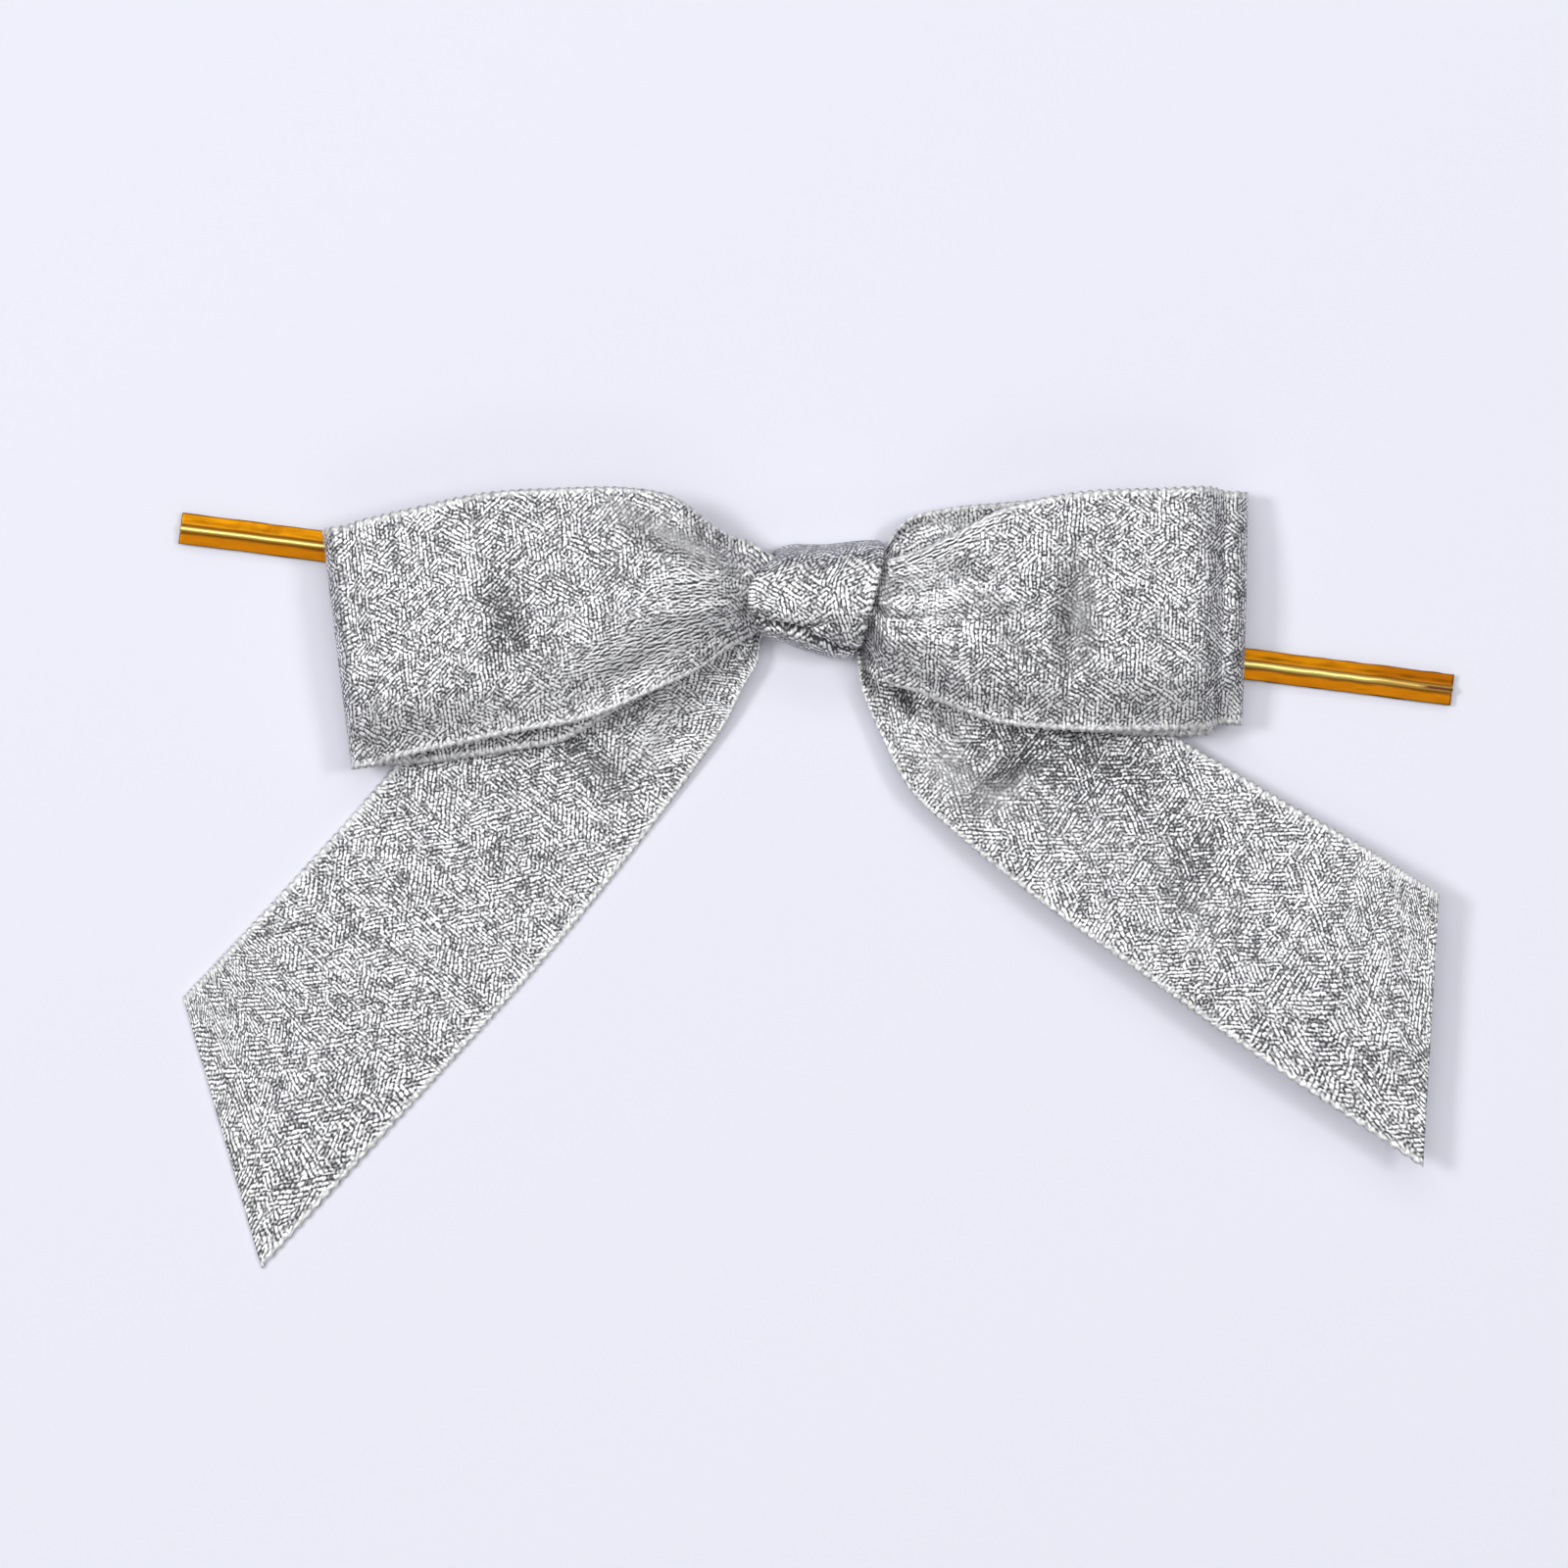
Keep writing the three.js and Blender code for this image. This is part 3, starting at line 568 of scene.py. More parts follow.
def ribbon_piece(name, stations, marks, seed, front_start=None, ripple=RIPPLE_RISE, waist=0):
    """One visible stretch of the ribbon, with its pleats, hollows, ripples and woven edges, and its
    length. The marks are its tables of forms, of satin that paints shade and highlights, and of lines
    whose negative share paints shade."""
    forms, satin, long_lines = marks
    upper, lower, crown, pleat, lengths, places = ribbon_rows(stations)
    shares = column_shares()
    across = shares[None, :, None]
    points = upper[:, None] * (1 - across) + lower[:, None] * across
    x, y, z = points[:, :, 0], points[:, :, 1], points[:, :, 2]
    fullness = waist * bell(x - WAIST_MIDDLE, WAIST_HALF) * smooth_step(-x, *WAIST_START)
    y += fullness * (1 - shares) ** 1.5
    arch = 4 * shares * (1 - shares)
    z += crown[:, None] * arch
    z += pleat[:, None] * np.cos(2 * math.pi * PLEAT_COUNT * shares)
    gathered = np.clip(pleat / PLEAT_RISE, 0, 1)
    z += fine_pleats(lengths, shares, seed, gathered * FINE_PLEAT_RISE)
    free = 1 - gathered[:, None] * 0.7
    layer = np.ones((len(lengths), 1))
    droop = 0
    if front_start is not None:
        layer = smooth_step(places, front_start, front_start + LAYER_CHANGE_SHARE)[:, None]
        droop = smooth_step(shares, 1 - EDGE_DROOP_WIDTH, 1) * EDGE_DROOP * RIBBON_WIDTH
    z -= soft_forms(x, y, forms) * layer
    z -= droop * free * (2 * layer - 1) * blend_between(0.7, 1, layer)
    z += undulation(x, y, seed, *RIPPLE_WAVES) * ripple * free * blend_between(0.4, 1, layer)
    np.maximum(z, CLOTH_THICKNESS, out=z)
    add_picots(points, lengths, shares, 1 - 0.9 * gathered)
    edge = np.minimum(shares, 1 - shares) * RIBBON_WIDTH
    thickness = CLOTH_THICKNESS * (1 + SELVEDGE_BEAD * bell(edge, SELVEDGE_WIDTH))
    width = np.linalg.norm(upper - lower, axis=1)
    from_middle = shares[None, :] - 0.5
    fan = np.arctan(from_middle * np.gradient(width, lengths)[:, None])
    cloth = stacked(lengths[:, None] + seed * SEED_SPACING, from_middle * width[:, None], fan)
    # Painted light: the satin share paints shade where positive and a highlight where negative, and the
    # lines' negative share paints shade
    satin_and_painted_light = np.clip(soft_forms(x, y, satin), -1, 1)
    rays_and_shade = np.clip(soft_forms(x, y, long_lines), -1, 1) * layer
    return sheet_mesh(name, points, cloth, thickness, stacked(edge, satin_and_painted_light, rays_and_shade)), lengths[-1]


# The knot's visible wrap

# Half of its section: across by half its span, and up by its height
KNOT_SECTION = [
    (0, 0), (0.5, 0), (0.78, 0.006), (0.93, 0.045), (1, 0.16), (1, 0.34), (0.96, 0.55), (0.84, 0.76),
    (0.62, 0.9), (0.33, 0.975), (0, 1),
]
LEFT_BULGE = 2.8
RIGHT_BULGE = 0.5
# How much fuller the knot is at its upper left, and how far its left shoulder slants in
KNOT_FULLNESS = 1.25
KNOT_SHOULDER = 1.6
# The fold along the knot's lower side
KNOT_CREASE = [
    (-7.4, -1.7), (-5.5, -2.5), (-3.8, -2.8), (-2.2, -3.1), (-0.3, -4.1), (2.4, -5.1), (5.2, -5.6),
]
# A second, shorter fold above it: its line, and the middle and half length of what shows of it
KNOT_TUCK = [(-4.2, -2.7), (-1.6, -3.2), (0.9, -2.8), (3.0, -3.0)]
KNOT_TUCK_MIDDLE = -1.2
KNOT_TUCK_HALF = 2.6
# The start of the part that turns away at the knot's top
KNOT_RIM = [(-7.4, 3.0), (-5.5, 3.2), (-2.2, 3.8), (1.8, 4.2), (7.0, 4.9)]
# The levels between which the wrap's sides become its front, and the angle of the weave there
KNOT_FRONT_LEVELS = (2.5, 4.5)
KNOT_WEAVE_ANGLE = 28
KNOT_FACE_COLUMNS = 84
# The wrap's cloth is turned in along both its sides, because the ribbon is wider than the knot
HEM_REACH = 5.2
HEM_BACK_REACH = 0.5
HEM_GAP = 0.05
HEM_COLUMNS = 14
HEM_FOLD_COLUMNS = 5


def knot_face():
    """The wrap's outer layer: rows round the section, from the middle of its back, by columns along
    X. Also the length round the middle of the wrap at each row, and each column's share along X."""
    mirrored = [(-y, z) for y, z in KNOT_SECTION[-2:0:-1]]
    outline = [*KNOT_SECTION, *mirrored, KNOT_SECTION[0]]
    fine = np.linspace(0, 1, 2000)
    middle_span = (KNOT_NARROW_SPAN + KNOT_WIDE_SPAN) / 2
    middle_height = (KNOT_NARROW_HEIGHT + KNOT_WIDE_HEIGHT) / 2
    sizes = curve_through(outline, fine) * np.array([middle_span / 2, middle_height])
    places, lengths = even_places(sizes, fine)
    section = curve_through(outline, places)
    aside, up = section[:, :1], section[:, 1:]
    shares = np.linspace(0, 1, KNOT_FACE_COLUMNS)
    swell = np.sin(shares * math.pi / 2)
    span = blend_between(KNOT_NARROW_SPAN, KNOT_WIDE_SPAN, swell)
    height = blend_between(KNOT_NARROW_HEIGHT, KNOT_WIDE_HEIGHT, swell)
    fuller = KNOT_FULLNESS * bell(shares - 0.1, 0.3) * (aside > 0)
    y = aside * (span / 2 - CLOTH_THICKNESS / 2 + fuller)
    z = up * (height - CLOTH_THICKNESS) + CLOTH_THICKNESS / 2
    rise = np.clip(z / height, 0, 1)
    left = -blend_between(KNOT_LEFT_BACK_REACH, KNOT_LEFT_REACH, rise**LEFT_BULGE)
    left += KNOT_SHOULDER * smooth_step(y, 0.8, 4.6) * rise
    right = blend_between(KNOT_RIGHT_BACK_REACH, KNOT_RIGHT_REACH, rise**RIGHT_BULGE) + KNOT_END_LEAN * y
    x = left + (right - left) * shares
    return np.stack([x, y, z], -1), lengths, shares


def distance_above(x, y, line):
    """How far a point lies above a line that is given by a few of its points."""
    xs, ys = zip(*line)
    return y - np.interp(x, xs, ys)


def sample_columns(grid, columns):
    """A grid's values at fractional columns, which may differ from row to row."""
    last = grid.shape[1] - 2
    index = np.clip(columns.astype(int), 0, last)
    weight = (columns - index)[..., None]
    rows = np.arange(grid.shape[0])[:, None]
    return grid[rows, index] * (1 - weight) + grid[rows, index + 1] * weight


def turned_in(face, normals, hem):
    """The face with both its sides folded in under it by the hem's length at each row, and how far
    each point lies across the flat ribbon."""
    fold = (CLOTH_THICKNESS + HEM_GAP) / 2
    width = np.linalg.norm(face[:, -1] - face[:, 0], axis=1)
    per_column = (KNOT_FACE_COLUMNS - 1) / width
    inward, offsets, travel = [], [], []
    for step in range(HEM_COLUMNS, 0, -1):
        share = step / HEM_COLUMNS
        inward.append(fold + hem * share)
        offsets.append(2 * fold)
        travel.append(-hem * share)
    for step in range(HEM_FOLD_COLUMNS):
        angle = math.pi * (1 - step / (HEM_FOLD_COLUMNS - 1))
        inward.append(np.full_like(hem, fold * (1 - math.sin(angle))))
        offsets.append(fold * (1 - math.cos(angle)))
        travel.append(np.full_like(hem, fold * (math.pi - angle)))
    inward = np.array(inward).T
    offsets = np.array(offsets)
    travel = np.array(travel).T
    near = inward * per_column[:, None]
    far = (KNOT_FACE_COLUMNS - 1) - near[:, ::-1]
    face_share = np.linspace(0, 1, KNOT_FACE_COLUMNS - 2 * HEM_FOLD_COLUMNS)[1:-1]
    fold_columns = fold * per_column[:, None]
    face_columns = fold_columns + face_share[None, :] * (KNOT_FACE_COLUMNS - 1 - 2 * fold_columns)
    columns = np.concatenate([near, face_columns, far], axis=1)
    depth = np.concatenate([offsets, np.zeros(len(face_share)), offsets[::-1]])
    points = sample_columns(face, columns) - sample_columns(normals, columns) * depth[None, :, None]
    face_travel = face_columns / per_column[:, None]
    last = width[:, None]
    across = np.concatenate([travel, face_travel, last - travel[:, ::-1]], axis=1)
    return points, across


def knot_folds(x, y):
    """How far each point lies above the knot's crease, its rim and its second fold, and how much of
    the second fold shows there."""
    crease = distance_above(x, y, KNOT_CREASE)
    rim = distance_above(x, y, KNOT_RIM)
    tuck = distance_above(x, y, KNOT_TUCK)
    return crease, rim, tuck, bell(x - KNOT_TUCK_MIDDLE, KNOT_TUCK_HALF)


def knot_piece(name, seed):
    """The ribbon's turn round the knot, with its turned-in sides, rolled lower fold and gathers, and
    its length. Its weave carries painted shade above its rim, below its crease and along its folds."""
    face, lengths, shares = knot_face()
    normals = grid_normals(face)
    centre = face.mean(axis=(0, 1))
    outward = np.sign(np.einsum("ijk,ijk->ij", normals, face - centre))
    normals = normals * outward[:, :, None]
    x, y, z = face[:, :, 0], face[:, :, 1], face[:, :, 2]
    crease, rim, tuck, tuck_fade = knot_folds(x, y)
    crease_fade = 1 - 0.4 * smooth_step(x, -0.5, 4.5)
    lift = -0.95 * bell(crease, 0.36) * crease_fade
    lift -= 0.4 * bell(tuck, 0.3) * tuck_fade
    lift += 0.28 * bell(crease + 1.0, 0.7) * crease_fade
    lift += 0.22 * bell(crease - 0.9, 0.9)
    lift += 0.2 * bell(rim + 0.6, 0.9)
    lift -= 0.25 * smooth_step(rim, 0, 1.6)
    gathers = np.zeros_like(lift)
    random = np.random.default_rng(seed)
    for count in (3, 5, 8, 11):
        phase = random.uniform(0, 2 * math.pi)
        sway = 1.3 * np.sin(lengths / 9 + random.uniform(0, 6))[:, None]
        gathers += np.sin(2 * math.pi * count * shares[None, :] + phase + sway) / count**0.8
    lift += 0.09 * gathers
    lift *= smooth_step(z, *KNOT_FRONT_LEVELS)
    hem = blend_between(HEM_BACK_REACH, HEM_REACH, smooth_step(z[:, 0], 1.0, 2.2))
    points, across = turned_in(face + normals * lift[:, :, None], normals, hem)
    cos, sin = wave(KNOT_WEAVE_ANGLE)
    around = lengths[:, None]
    cloth = stacked(around * cos - across * sin + seed * SEED_SPACING, across * cos + around * sin, 0)
    crease, rim, tuck, tuck_fade = knot_folds(points[:, :, 0], points[:, :, 1])
    # Painted shade: the satin share dulls the cloth above the rim, where the top turns away, and below the
    # crease, and the dark share darkens the weave along the crease and the second fold
    satin_and_painted_light = 0.55 * smooth_step(rim, -0.2, 1.0) + 0.5 * smooth_step(-crease, 0.5, 1.1)
    dark = -bell(crease, 0.33) - 0.8 * bell(tuck, 0.28) * tuck_fade
    dark = np.clip(dark, -1, 0) * smooth_step(points[:, :, 2], *KNOT_FRONT_LEVELS)
    weave = stacked(RIBBON_HALF, satin_and_painted_light, dark)
    return sheet_mesh(name, points, cloth, CLOTH_THICKNESS, weave), lengths[-1]


# The gathered run inside the knot: its folds and its cloth's thickness, its rows and its columns
CORE_FOLDS = 7
CORE_THICKNESS = 0.2
CORE_ROWS = 54
CORE_COLUMNS = 281


def core_piece(name, seed):
    """The gathered run of ribbon inside the knot, folded to and fro across its width."""
    rows = np.linspace(-KNOT_RIGHT_BACK_REACH, KNOT_RIGHT_BACK_REACH, CORE_ROWS)[:, None]
    shares = np.linspace(0, 1, CORE_COLUMNS)
    half = GATHERED_HALF - 2 * LAYER_GAP
    low = CORE_BASE + LAYER_GAP + CLOTH_THICKNESS / 2
    arch = 4 * shares * (1 - shares)
    high = FRONT_EDGE_LEVEL + FRONT_CROWN * arch - LAYER_GAP - CLOTH_THICKNESS
    zigzag = 0.5 - 0.5 * np.cos(2 * math.pi * CORE_FOLDS * shares)
    points = stacked(rows, half * (1 - 2 * shares), blend_between(low, np.maximum(high, low), zigzag))
    cloth = stacked(rows + seed * SEED_SPACING, (shares - 0.5) * RIBBON_WIDTH, 0)
    weave = np.broadcast_to([RIBBON_HALF, 0, 0], points.shape)
    return sheet_mesh(name, points, cloth, CORE_THICKNESS, weave)


# The twist tie

# Level of the front film's middle line on the tie's wings, its radius round the wire, and the level of
# the wire's axis
WING_LEVEL = WIRE_SEAT + FILM_THICKNESS / 2
HUG_RADIUS = WIRE_DIAMETER / 2 + FILM_GAP + FILM_THICKNESS / 2
WIRE_AXIS = WIRE_SEAT + WIRE_DIAMETER / 2
# Shares of the quarter turn up to the top of the wire at which the film has a point, how many radii
# from the axis it leaves its wing, and its rise there
HUG_SHARES = (0.2, 0.5, 0.75, 1)
HUG_START = 1.35
HUG_START_RISE = 0.01
# Rise of the crinkles in the front and the back film, and the visible share of a film's thickness
FRONT_CRINKLE = 0.02
BACK_CRINKLE = 0.008
FOIL_THICKNESS_SHARE = 0.6
# Fineness: rows along the tie, columns across its films, and sides of its wire
TIE_ROW_PITCH = 0.22
FRONT_FILM_COLUMNS = 56
BACK_FILM_COLUMNS = 24
WIRE_SIDES = 20
# Half the length over which a bend is spread
BEND_HALF = 1.3


def film_profile():
    """The front film across the tie: flat wings, and a ridge formed over the wire."""
    half = [(-TIE_WIDTH / 2, WING_LEVEL), (-TIE_WIDTH / 3, WING_LEVEL)]
    half.append((-HUG_RADIUS * HUG_START, WING_LEVEL + HUG_START_RISE))
    for share in HUG_SHARES:
        cos, sin = wave(180 - 90 * share)
        half.append((HUG_RADIUS * cos, WIRE_AXIS + HUG_RADIUS * sin))
    outline = half + [(-y, z) for y, z in half[-2::-1]]
    fine = np.linspace(0, 1, 800)
    places, _ = even_places(curve_through(outline, fine), fine, FRONT_FILM_COLUMNS)
    return curve_through(outline, places)


def tie_rows(start, end):
    """Places along the tie between two ends."""
    return np.linspace(start, end, int(round((end - start) / TIE_ROW_PITCH)) + 1)


def to_bow(points):
    """Points of the tie's own frame in the bow's frame."""
    cos, sin = wave(TIE_SLOPE)
    moved = points.copy()
    moved[..., 0] = points[..., 0] * cos - points[..., 1] * sin
    moved[..., 1] = points[..., 0] * sin + points[..., 1] * cos + TIE_OFFSET
    return moved


def film_piece(name, start, end, profile, seed, rise):
    """A stretch of foil film that follows a profile across the tie, with crinkles of a given rise."""
    points = stacked(tie_rows(start, end)[:, None], profile[:, 0], profile[:, 1])
    x, y, z = points[:, :, 0], points[:, :, 1], points[:, :, 2]
    crinkle = undulation(x * 0.6, y * 1.4, seed, 1.6, 4.5, 11) * rise
    z += np.clip(crinkle, -rise, 2 * rise)
    y += 0.03 * undulation(x, np.zeros_like(y), seed + 1, 2, 9)
    return sheet_mesh(name, to_bow(points), stacked(x, y, seed), FILM_THICKNESS * FOIL_THICKNESS_SHARE)


def wire_piece(name, start, end):
    """A stretch of the round wire."""
    rows = tie_rows(start, end)
    angles = np.linspace(0, 2 * math.pi, WIRE_SIDES, endpoint=False)
    radius = WIRE_DIAMETER / 2
    points = stacked(rows[:, None], radius * np.cos(angles), WIRE_AXIS + radius * np.sin(angles))
    faces = []
    for row in range(len(rows) - 1):
        for side in range(WIRE_SIDES):
            a = row * WIRE_SIDES + side
            b = row * WIRE_SIDES + (side + 1) % WIRE_SIDES
            faces.append((a, b, b + WIRE_SIDES, a + WIRE_SIDES))
    last = (len(rows) - 1) * WIRE_SIDES
    faces.append(tuple(range(WIRE_SIDES))[::-1])
    faces.append(tuple(range(last, last + WIRE_SIDES)))
    return link_mesh(name, to_bow(points).reshape(-1, 3), faces)


# Materials


class Shader:
    """One material and short calls that add nodes to it."""

    def __init__(self, name):
        self.material = bpy.data.materials.new(name)
        self.material.use_nodes = True
        self.tree = self.material.node_tree
        self.tree.nodes.clear()
        self.output = self.node("OutputMaterial")

    def node(self, kind, **settings):
        made = self.tree.nodes.new("ShaderNode" + kind)
        for key, value in settings.items():
            setattr(made, key, value)
        return made

    def feed(self, socket, value):
        if isinstance(value, bpy.types.NodeSocket):
            self.tree.links.new(value, socket)
        else:
            socket.default_value = value

    def math(self, operation, *values):
        made = self.node("Math", operation=operation)
        for socket, value in zip(made.inputs, values):
            self.feed(socket, value)
        return made.outputs[0]

    def spread(self, value, low, high, to_low=0.0, to_high=1.0):
        made = self.node("MapRange", interpolation_type="SMOOTHSTEP")
        for socket, amount in zip(made.inputs, (value, low, high, to_low, to_high)):
            self.feed(socket, amount)
        return made.outputs[0]

    def vector(self, x, y, z):
        made = self.node("CombineXYZ")
        for socket, value in zip(made.inputs, (x, y, z)):
            self.feed(socket, value)
        return made.outputs[0]

    def noise(self, vector, scale, detail=2.0, roughness=0.5, output="Fac"):
        made = self.node("TexNoise")
        self.feed(made.inputs["Vector"], vector)
        self.feed(made.inputs["Scale"], scale)
        self.feed(made.inputs["Detail"], detail)
        self.feed(made.inputs["Roughness"], roughness)
        return made.outputs[output]

    def random(self, vector):
        made = self.node("TexWhiteNoise", noise_dimensions="3D")
        self.feed(made.inputs["Vector"], vector)
        return made.outputs["Value"]

    def ramp(self, value, stops):
        made = self.node("ValToRGB")
        self.feed(made.inputs[0], value)
        elements = made.color_ramp.elements
        while len(elements) < len(stops):
            elements.new(0.5)
        for element, (place_on_ramp, colour) in zip(elements, stops):
            element.position = place_on_ramp
            element.color = (*colour, 1)
        return made.outputs[0]

    def mix(self, share, first, second):
        made = self.node("Mix", data_type="RGBA")
        self.feed(made.inputs["Factor"], share)
        self.feed(made.inputs[6], first)
        self.feed(made.inputs[7], second)
        return made.outputs[2]

    def cloth(self, label="cloth"):
        """A point attribute's three values, as one vector and apart."""
        attribute = self.node("Attribute", attribute_name=label)
        apart = self.node("SeparateXYZ")
        self.feed(apart.inputs[0], attribute.outputs["Vector"])
        return attribute.outputs["Vector"], apart.outputs[0], apart.outputs[1], apart.outputs[2]

    def bump(self, height, distance, strength=1.0):
        made = self.node("Bump")
        self.feed(made.inputs["Strength"], strength)
        self.feed(made.inputs["Distance"], distance)
        self.feed(made.inputs["Height"], height)
        return made.outputs[0]

    def surface(self, **values):
        """Ends the material in one principled shader with these sockets."""
        shader = self.node("BsdfPrincipled")
        for key, value in values.items():
            self.feed(shader.inputs[key.replace("_", " ")], value)
        self.feed(self.output.inputs["Surface"], shader.outputs[0])
        return self.material


def pick(shader, share, first, second):
    """One of two numbers by a share from 0 to 1."""
    made = shader.node("Mix", data_type="FLOAT")
    for socket, value in zip((made.inputs[0], made.inputs[2], made.inputs[3]), (share, first, second)):
        shader.feed(socket, value)
    return made.outputs[0]


# The weave's strokes of thread: row pitch and run, how each row starts beside the one before it, how
# far the rows wander, and the angles at which they lie across the weft
THREAD_PITCH = 0.43
THREAD_RUN = 0.68
THREAD_SHIFT = 0.37
THREAD_SLIP = 0.5
THREAD_DRIFT = 0.8
ROW_ANGLES = (0, 55, -55)
# The tangle between the strokes: threads to a millimetre and patches to a millimetre
TANGLE_THREADS_PER_MM = 2.4
TANGLE_PATCHES_PER_MM = 1.8


def strokes(shader, along, across, angle):
    """Rows of thread strokes at an angle to the weft: how high each point is on its stroke, and a
    random share for each stroke."""
    cos, sin = wave(angle)
    rows = shader.math("ADD", shader.math("MULTIPLY", along, cos), shader.math("MULTIPLY", across, sin))
    runs = shader.math("SUBTRACT", shader.math("MULTIPLY", across, cos), shader.math("MULTIPLY", along, sin))
    row_place = shader.math("DIVIDE", rows, THREAD_PITCH)
    row = shader.math("FLOOR", row_place)
    in_row = shader.math("FRACT", row_place)
    slip = shader.random(shader.vector(row, angle, 0))
    start = shader.math("MULTIPLY_ADD", row, THREAD_SHIFT, shader.math("MULTIPLY", slip, THREAD_SLIP))
    run_place = shader.math("ADD", shader.math("DIVIDE", runs, THREAD_RUN), start)
    cell = shader.math("FLOOR", run_place)
    in_run = shader.math("FRACT", run_place)
    share = shader.random(shader.vector(row, cell, angle + 0.5))
    crown = shader.math("SINE", shader.math("MULTIPLY", in_row, math.pi))
    ends = shader.math("SINE", shader.math("MULTIPLY", in_run, math.pi))
    height = shader.math("MULTIPLY", crown, shader.math("POWER", ends, 0.3))
    return height, share


def thread_lines(shader, flat_cloth, angle, evenness):
    """Lines of thread across an angle, straight where evenness is 1 and tangled where it is 0."""
    made = shader.node("TexGabor")
    shader.feed(made.inputs["Vector"], flat_cloth)
    shader.feed(made.inputs["Scale"], TANGLE_PATCHES_PER_MM)
    shader.feed(made.inputs["Frequency"], TANGLE_THREADS_PER_MM / TANGLE_PATCHES_PER_MM)
    shader.feed(made.inputs["Anisotropy"], evenness)
    shader.feed(made.inputs[4], angle)
    return shader.math("MULTIPLY_ADD", made.outputs["Value"], 5.0, -2.5)


def ribbon_material():
    """Silver metallic weave: fine bright strokes of thread with dark gaps, in shifting directions, with
    painted shade and painted highlights where the weave attribute asks for them.
    """
    shader = Shader("silver_metallic_weave")
    _, along, across, fan = shader.cloth()
    _, edge, satin_and_painted_light, rays_and_shade = shader.cloth("weave")
    flat_cloth = shader.vector(along, across, 0)
    drift = shader.noise(flat_cloth, 0.4, output="Color")
    apart = shader.node("SeparateXYZ")
    shader.feed(apart.inputs[0], drift)
    bent_along = shader.math("MULTIPLY_ADD", apart.outputs[0], THREAD_DRIFT, along)
    bent_across = shader.math("MULTIPLY_ADD", apart.outputs[1], THREAD_DRIFT, across)
    layers = [strokes(shader, bent_along, bent_across, angle) for angle in ROW_ANGLES]
    first_noise = shader.noise(flat_cloth, 0.3)
    second_noise = shader.noise(shader.vector(across, along, 0), 0.26)
    first = shader.spread(first_noise, 0.47, 0.53)
    second = shader.spread(second_noise, 0.52, 0.58)
    height, share = (
        pick(shader, second, pick(shader, first, layers[0][part], layers[1][part]), layers[2][part])
        for part in range(2)
    )
    tangle = thread_lines(shader, flat_cloth, 0.0, 0.0)
    level = shader.math("MULTIPLY", height, shader.math("MULTIPLY_ADD", share, 0.85, 0.35))
    level = shader.math("MULTIPLY_ADD", tangle, 0.3, level)
    long_lines = thread_lines(shader, flat_cloth, shader.math("ADD", fan, math.pi / 2), 0.97)
    ray_level = shader.math("MULTIPLY_ADD", long_lines, 0.75, shader.math("MULTIPLY_ADD", share, 0.3, 0.32))
    level = pick(shader, shader.math("MAXIMUM", rays_and_shade, 0.0), level, ray_level)
    # Painted shade: a negative lines share darkens the weave
    level = shader.math("MULTIPLY_ADD", shader.math("MINIMUM", rays_and_shade, 0.0), 0.38, level)
    # Painted light from the satin share: a positive share pulls the weave to a dull grey that paints shade,
    # a negative one to a pale tone that paints a highlight
    satin_painted_shade = shader.math("MAXIMUM", satin_and_painted_light, 0.0)
    bright = shader.math("MAXIMUM", shader.math("MULTIPLY", satin_and_painted_light, -1.0), 0.0)
    level = pick(shader, satin_painted_shade, level, 0.36)
    level = pick(shader, bright, level, 0.72)
    patch_noise = shader.noise(flat_cloth, 0.22, 3.0, 0.6)
    level = shader.math("ADD", level, shader.spread(patch_noise, 0.3, 0.7, -0.04, 0.04))
    tone = shader.ramp(level, [
        (0.0, (0.06, 0.06, 0.066)),
        (0.22, (0.2, 0.2, 0.21)),
        (0.45, (0.55, 0.55, 0.565)),
        (0.68, (0.94, 0.94, 0.965)),
        (0.85, (1.0, 1.0, 1.0)),
    ])
    fuzz = shader.noise(flat_cloth, 1.6)
    ragged = shader.math("MULTIPLY_ADD", fuzz, -0.6, edge)
    band = shader.spread(ragged, 0.05, 0.44, 1.0, 0.0)
    loops = shader.math("COSINE", shader.math("MULTIPLY", along, 2 * math.pi / PICOT_PITCH))
    loop_level = shader.math("MULTIPLY_ADD", loops, -0.26, shader.math("MULTIPLY", fuzz, 1.05))
    edge_tone = shader.ramp(loop_level, [
        (0.1, (0.42, 0.42, 0.44)),
        (0.4, (0.78, 0.78, 0.8)),
        (0.65, (1.0, 1.0, 1.0)),
    ])
    tone = shader.mix(shader.math("MULTIPLY", band, 0.7), tone, edge_tone)
    relief = shader.bump(level, 0.035 * MM)
    rough = shader.spread(level, 0.1, 0.9, 0.64, 0.48)
    return shader.surface(Base_Color=tone, Metallic=0.6, Roughness=rough, Normal=relief)


# Along the tie from its middle: where the foil's painted shading changes, where near the right end its
# upper wing darkens and the painted highlight fades, and where it is split. Across it: how far from its
# axis the flanks of the ridge end, and the width of a sheared edge
FOIL_CHANGE = (20, 30)
FOIL_END_FADE = (57, 62)
FOIL_SPLIT = (63.6, 65.2)
FOIL_FLANK = (0.48, 0.6)
FOIL_EDGE = 0.2
# Its colours: painted shade, which random blotches share; the flanks; a painted highlight along the
# ridge; painted shade in the split; and the edges
FOIL_SHADE_COLOUR = (0.3, 0.09, 0.0004, 1)
FOIL_FLANK_COLOUR = (0.5, 0.2, 0.003, 1)
FOIL_RIDGE_HIGHLIGHT_COLOUR = (1, 0.86, 0.28, 1)
FOIL_SPLIT_SHADE_COLOUR = (0.12, 0.02, 0.002, 1)
FOIL_EDGE_COLOUR = (0.22, 0.08, 0.003, 1)


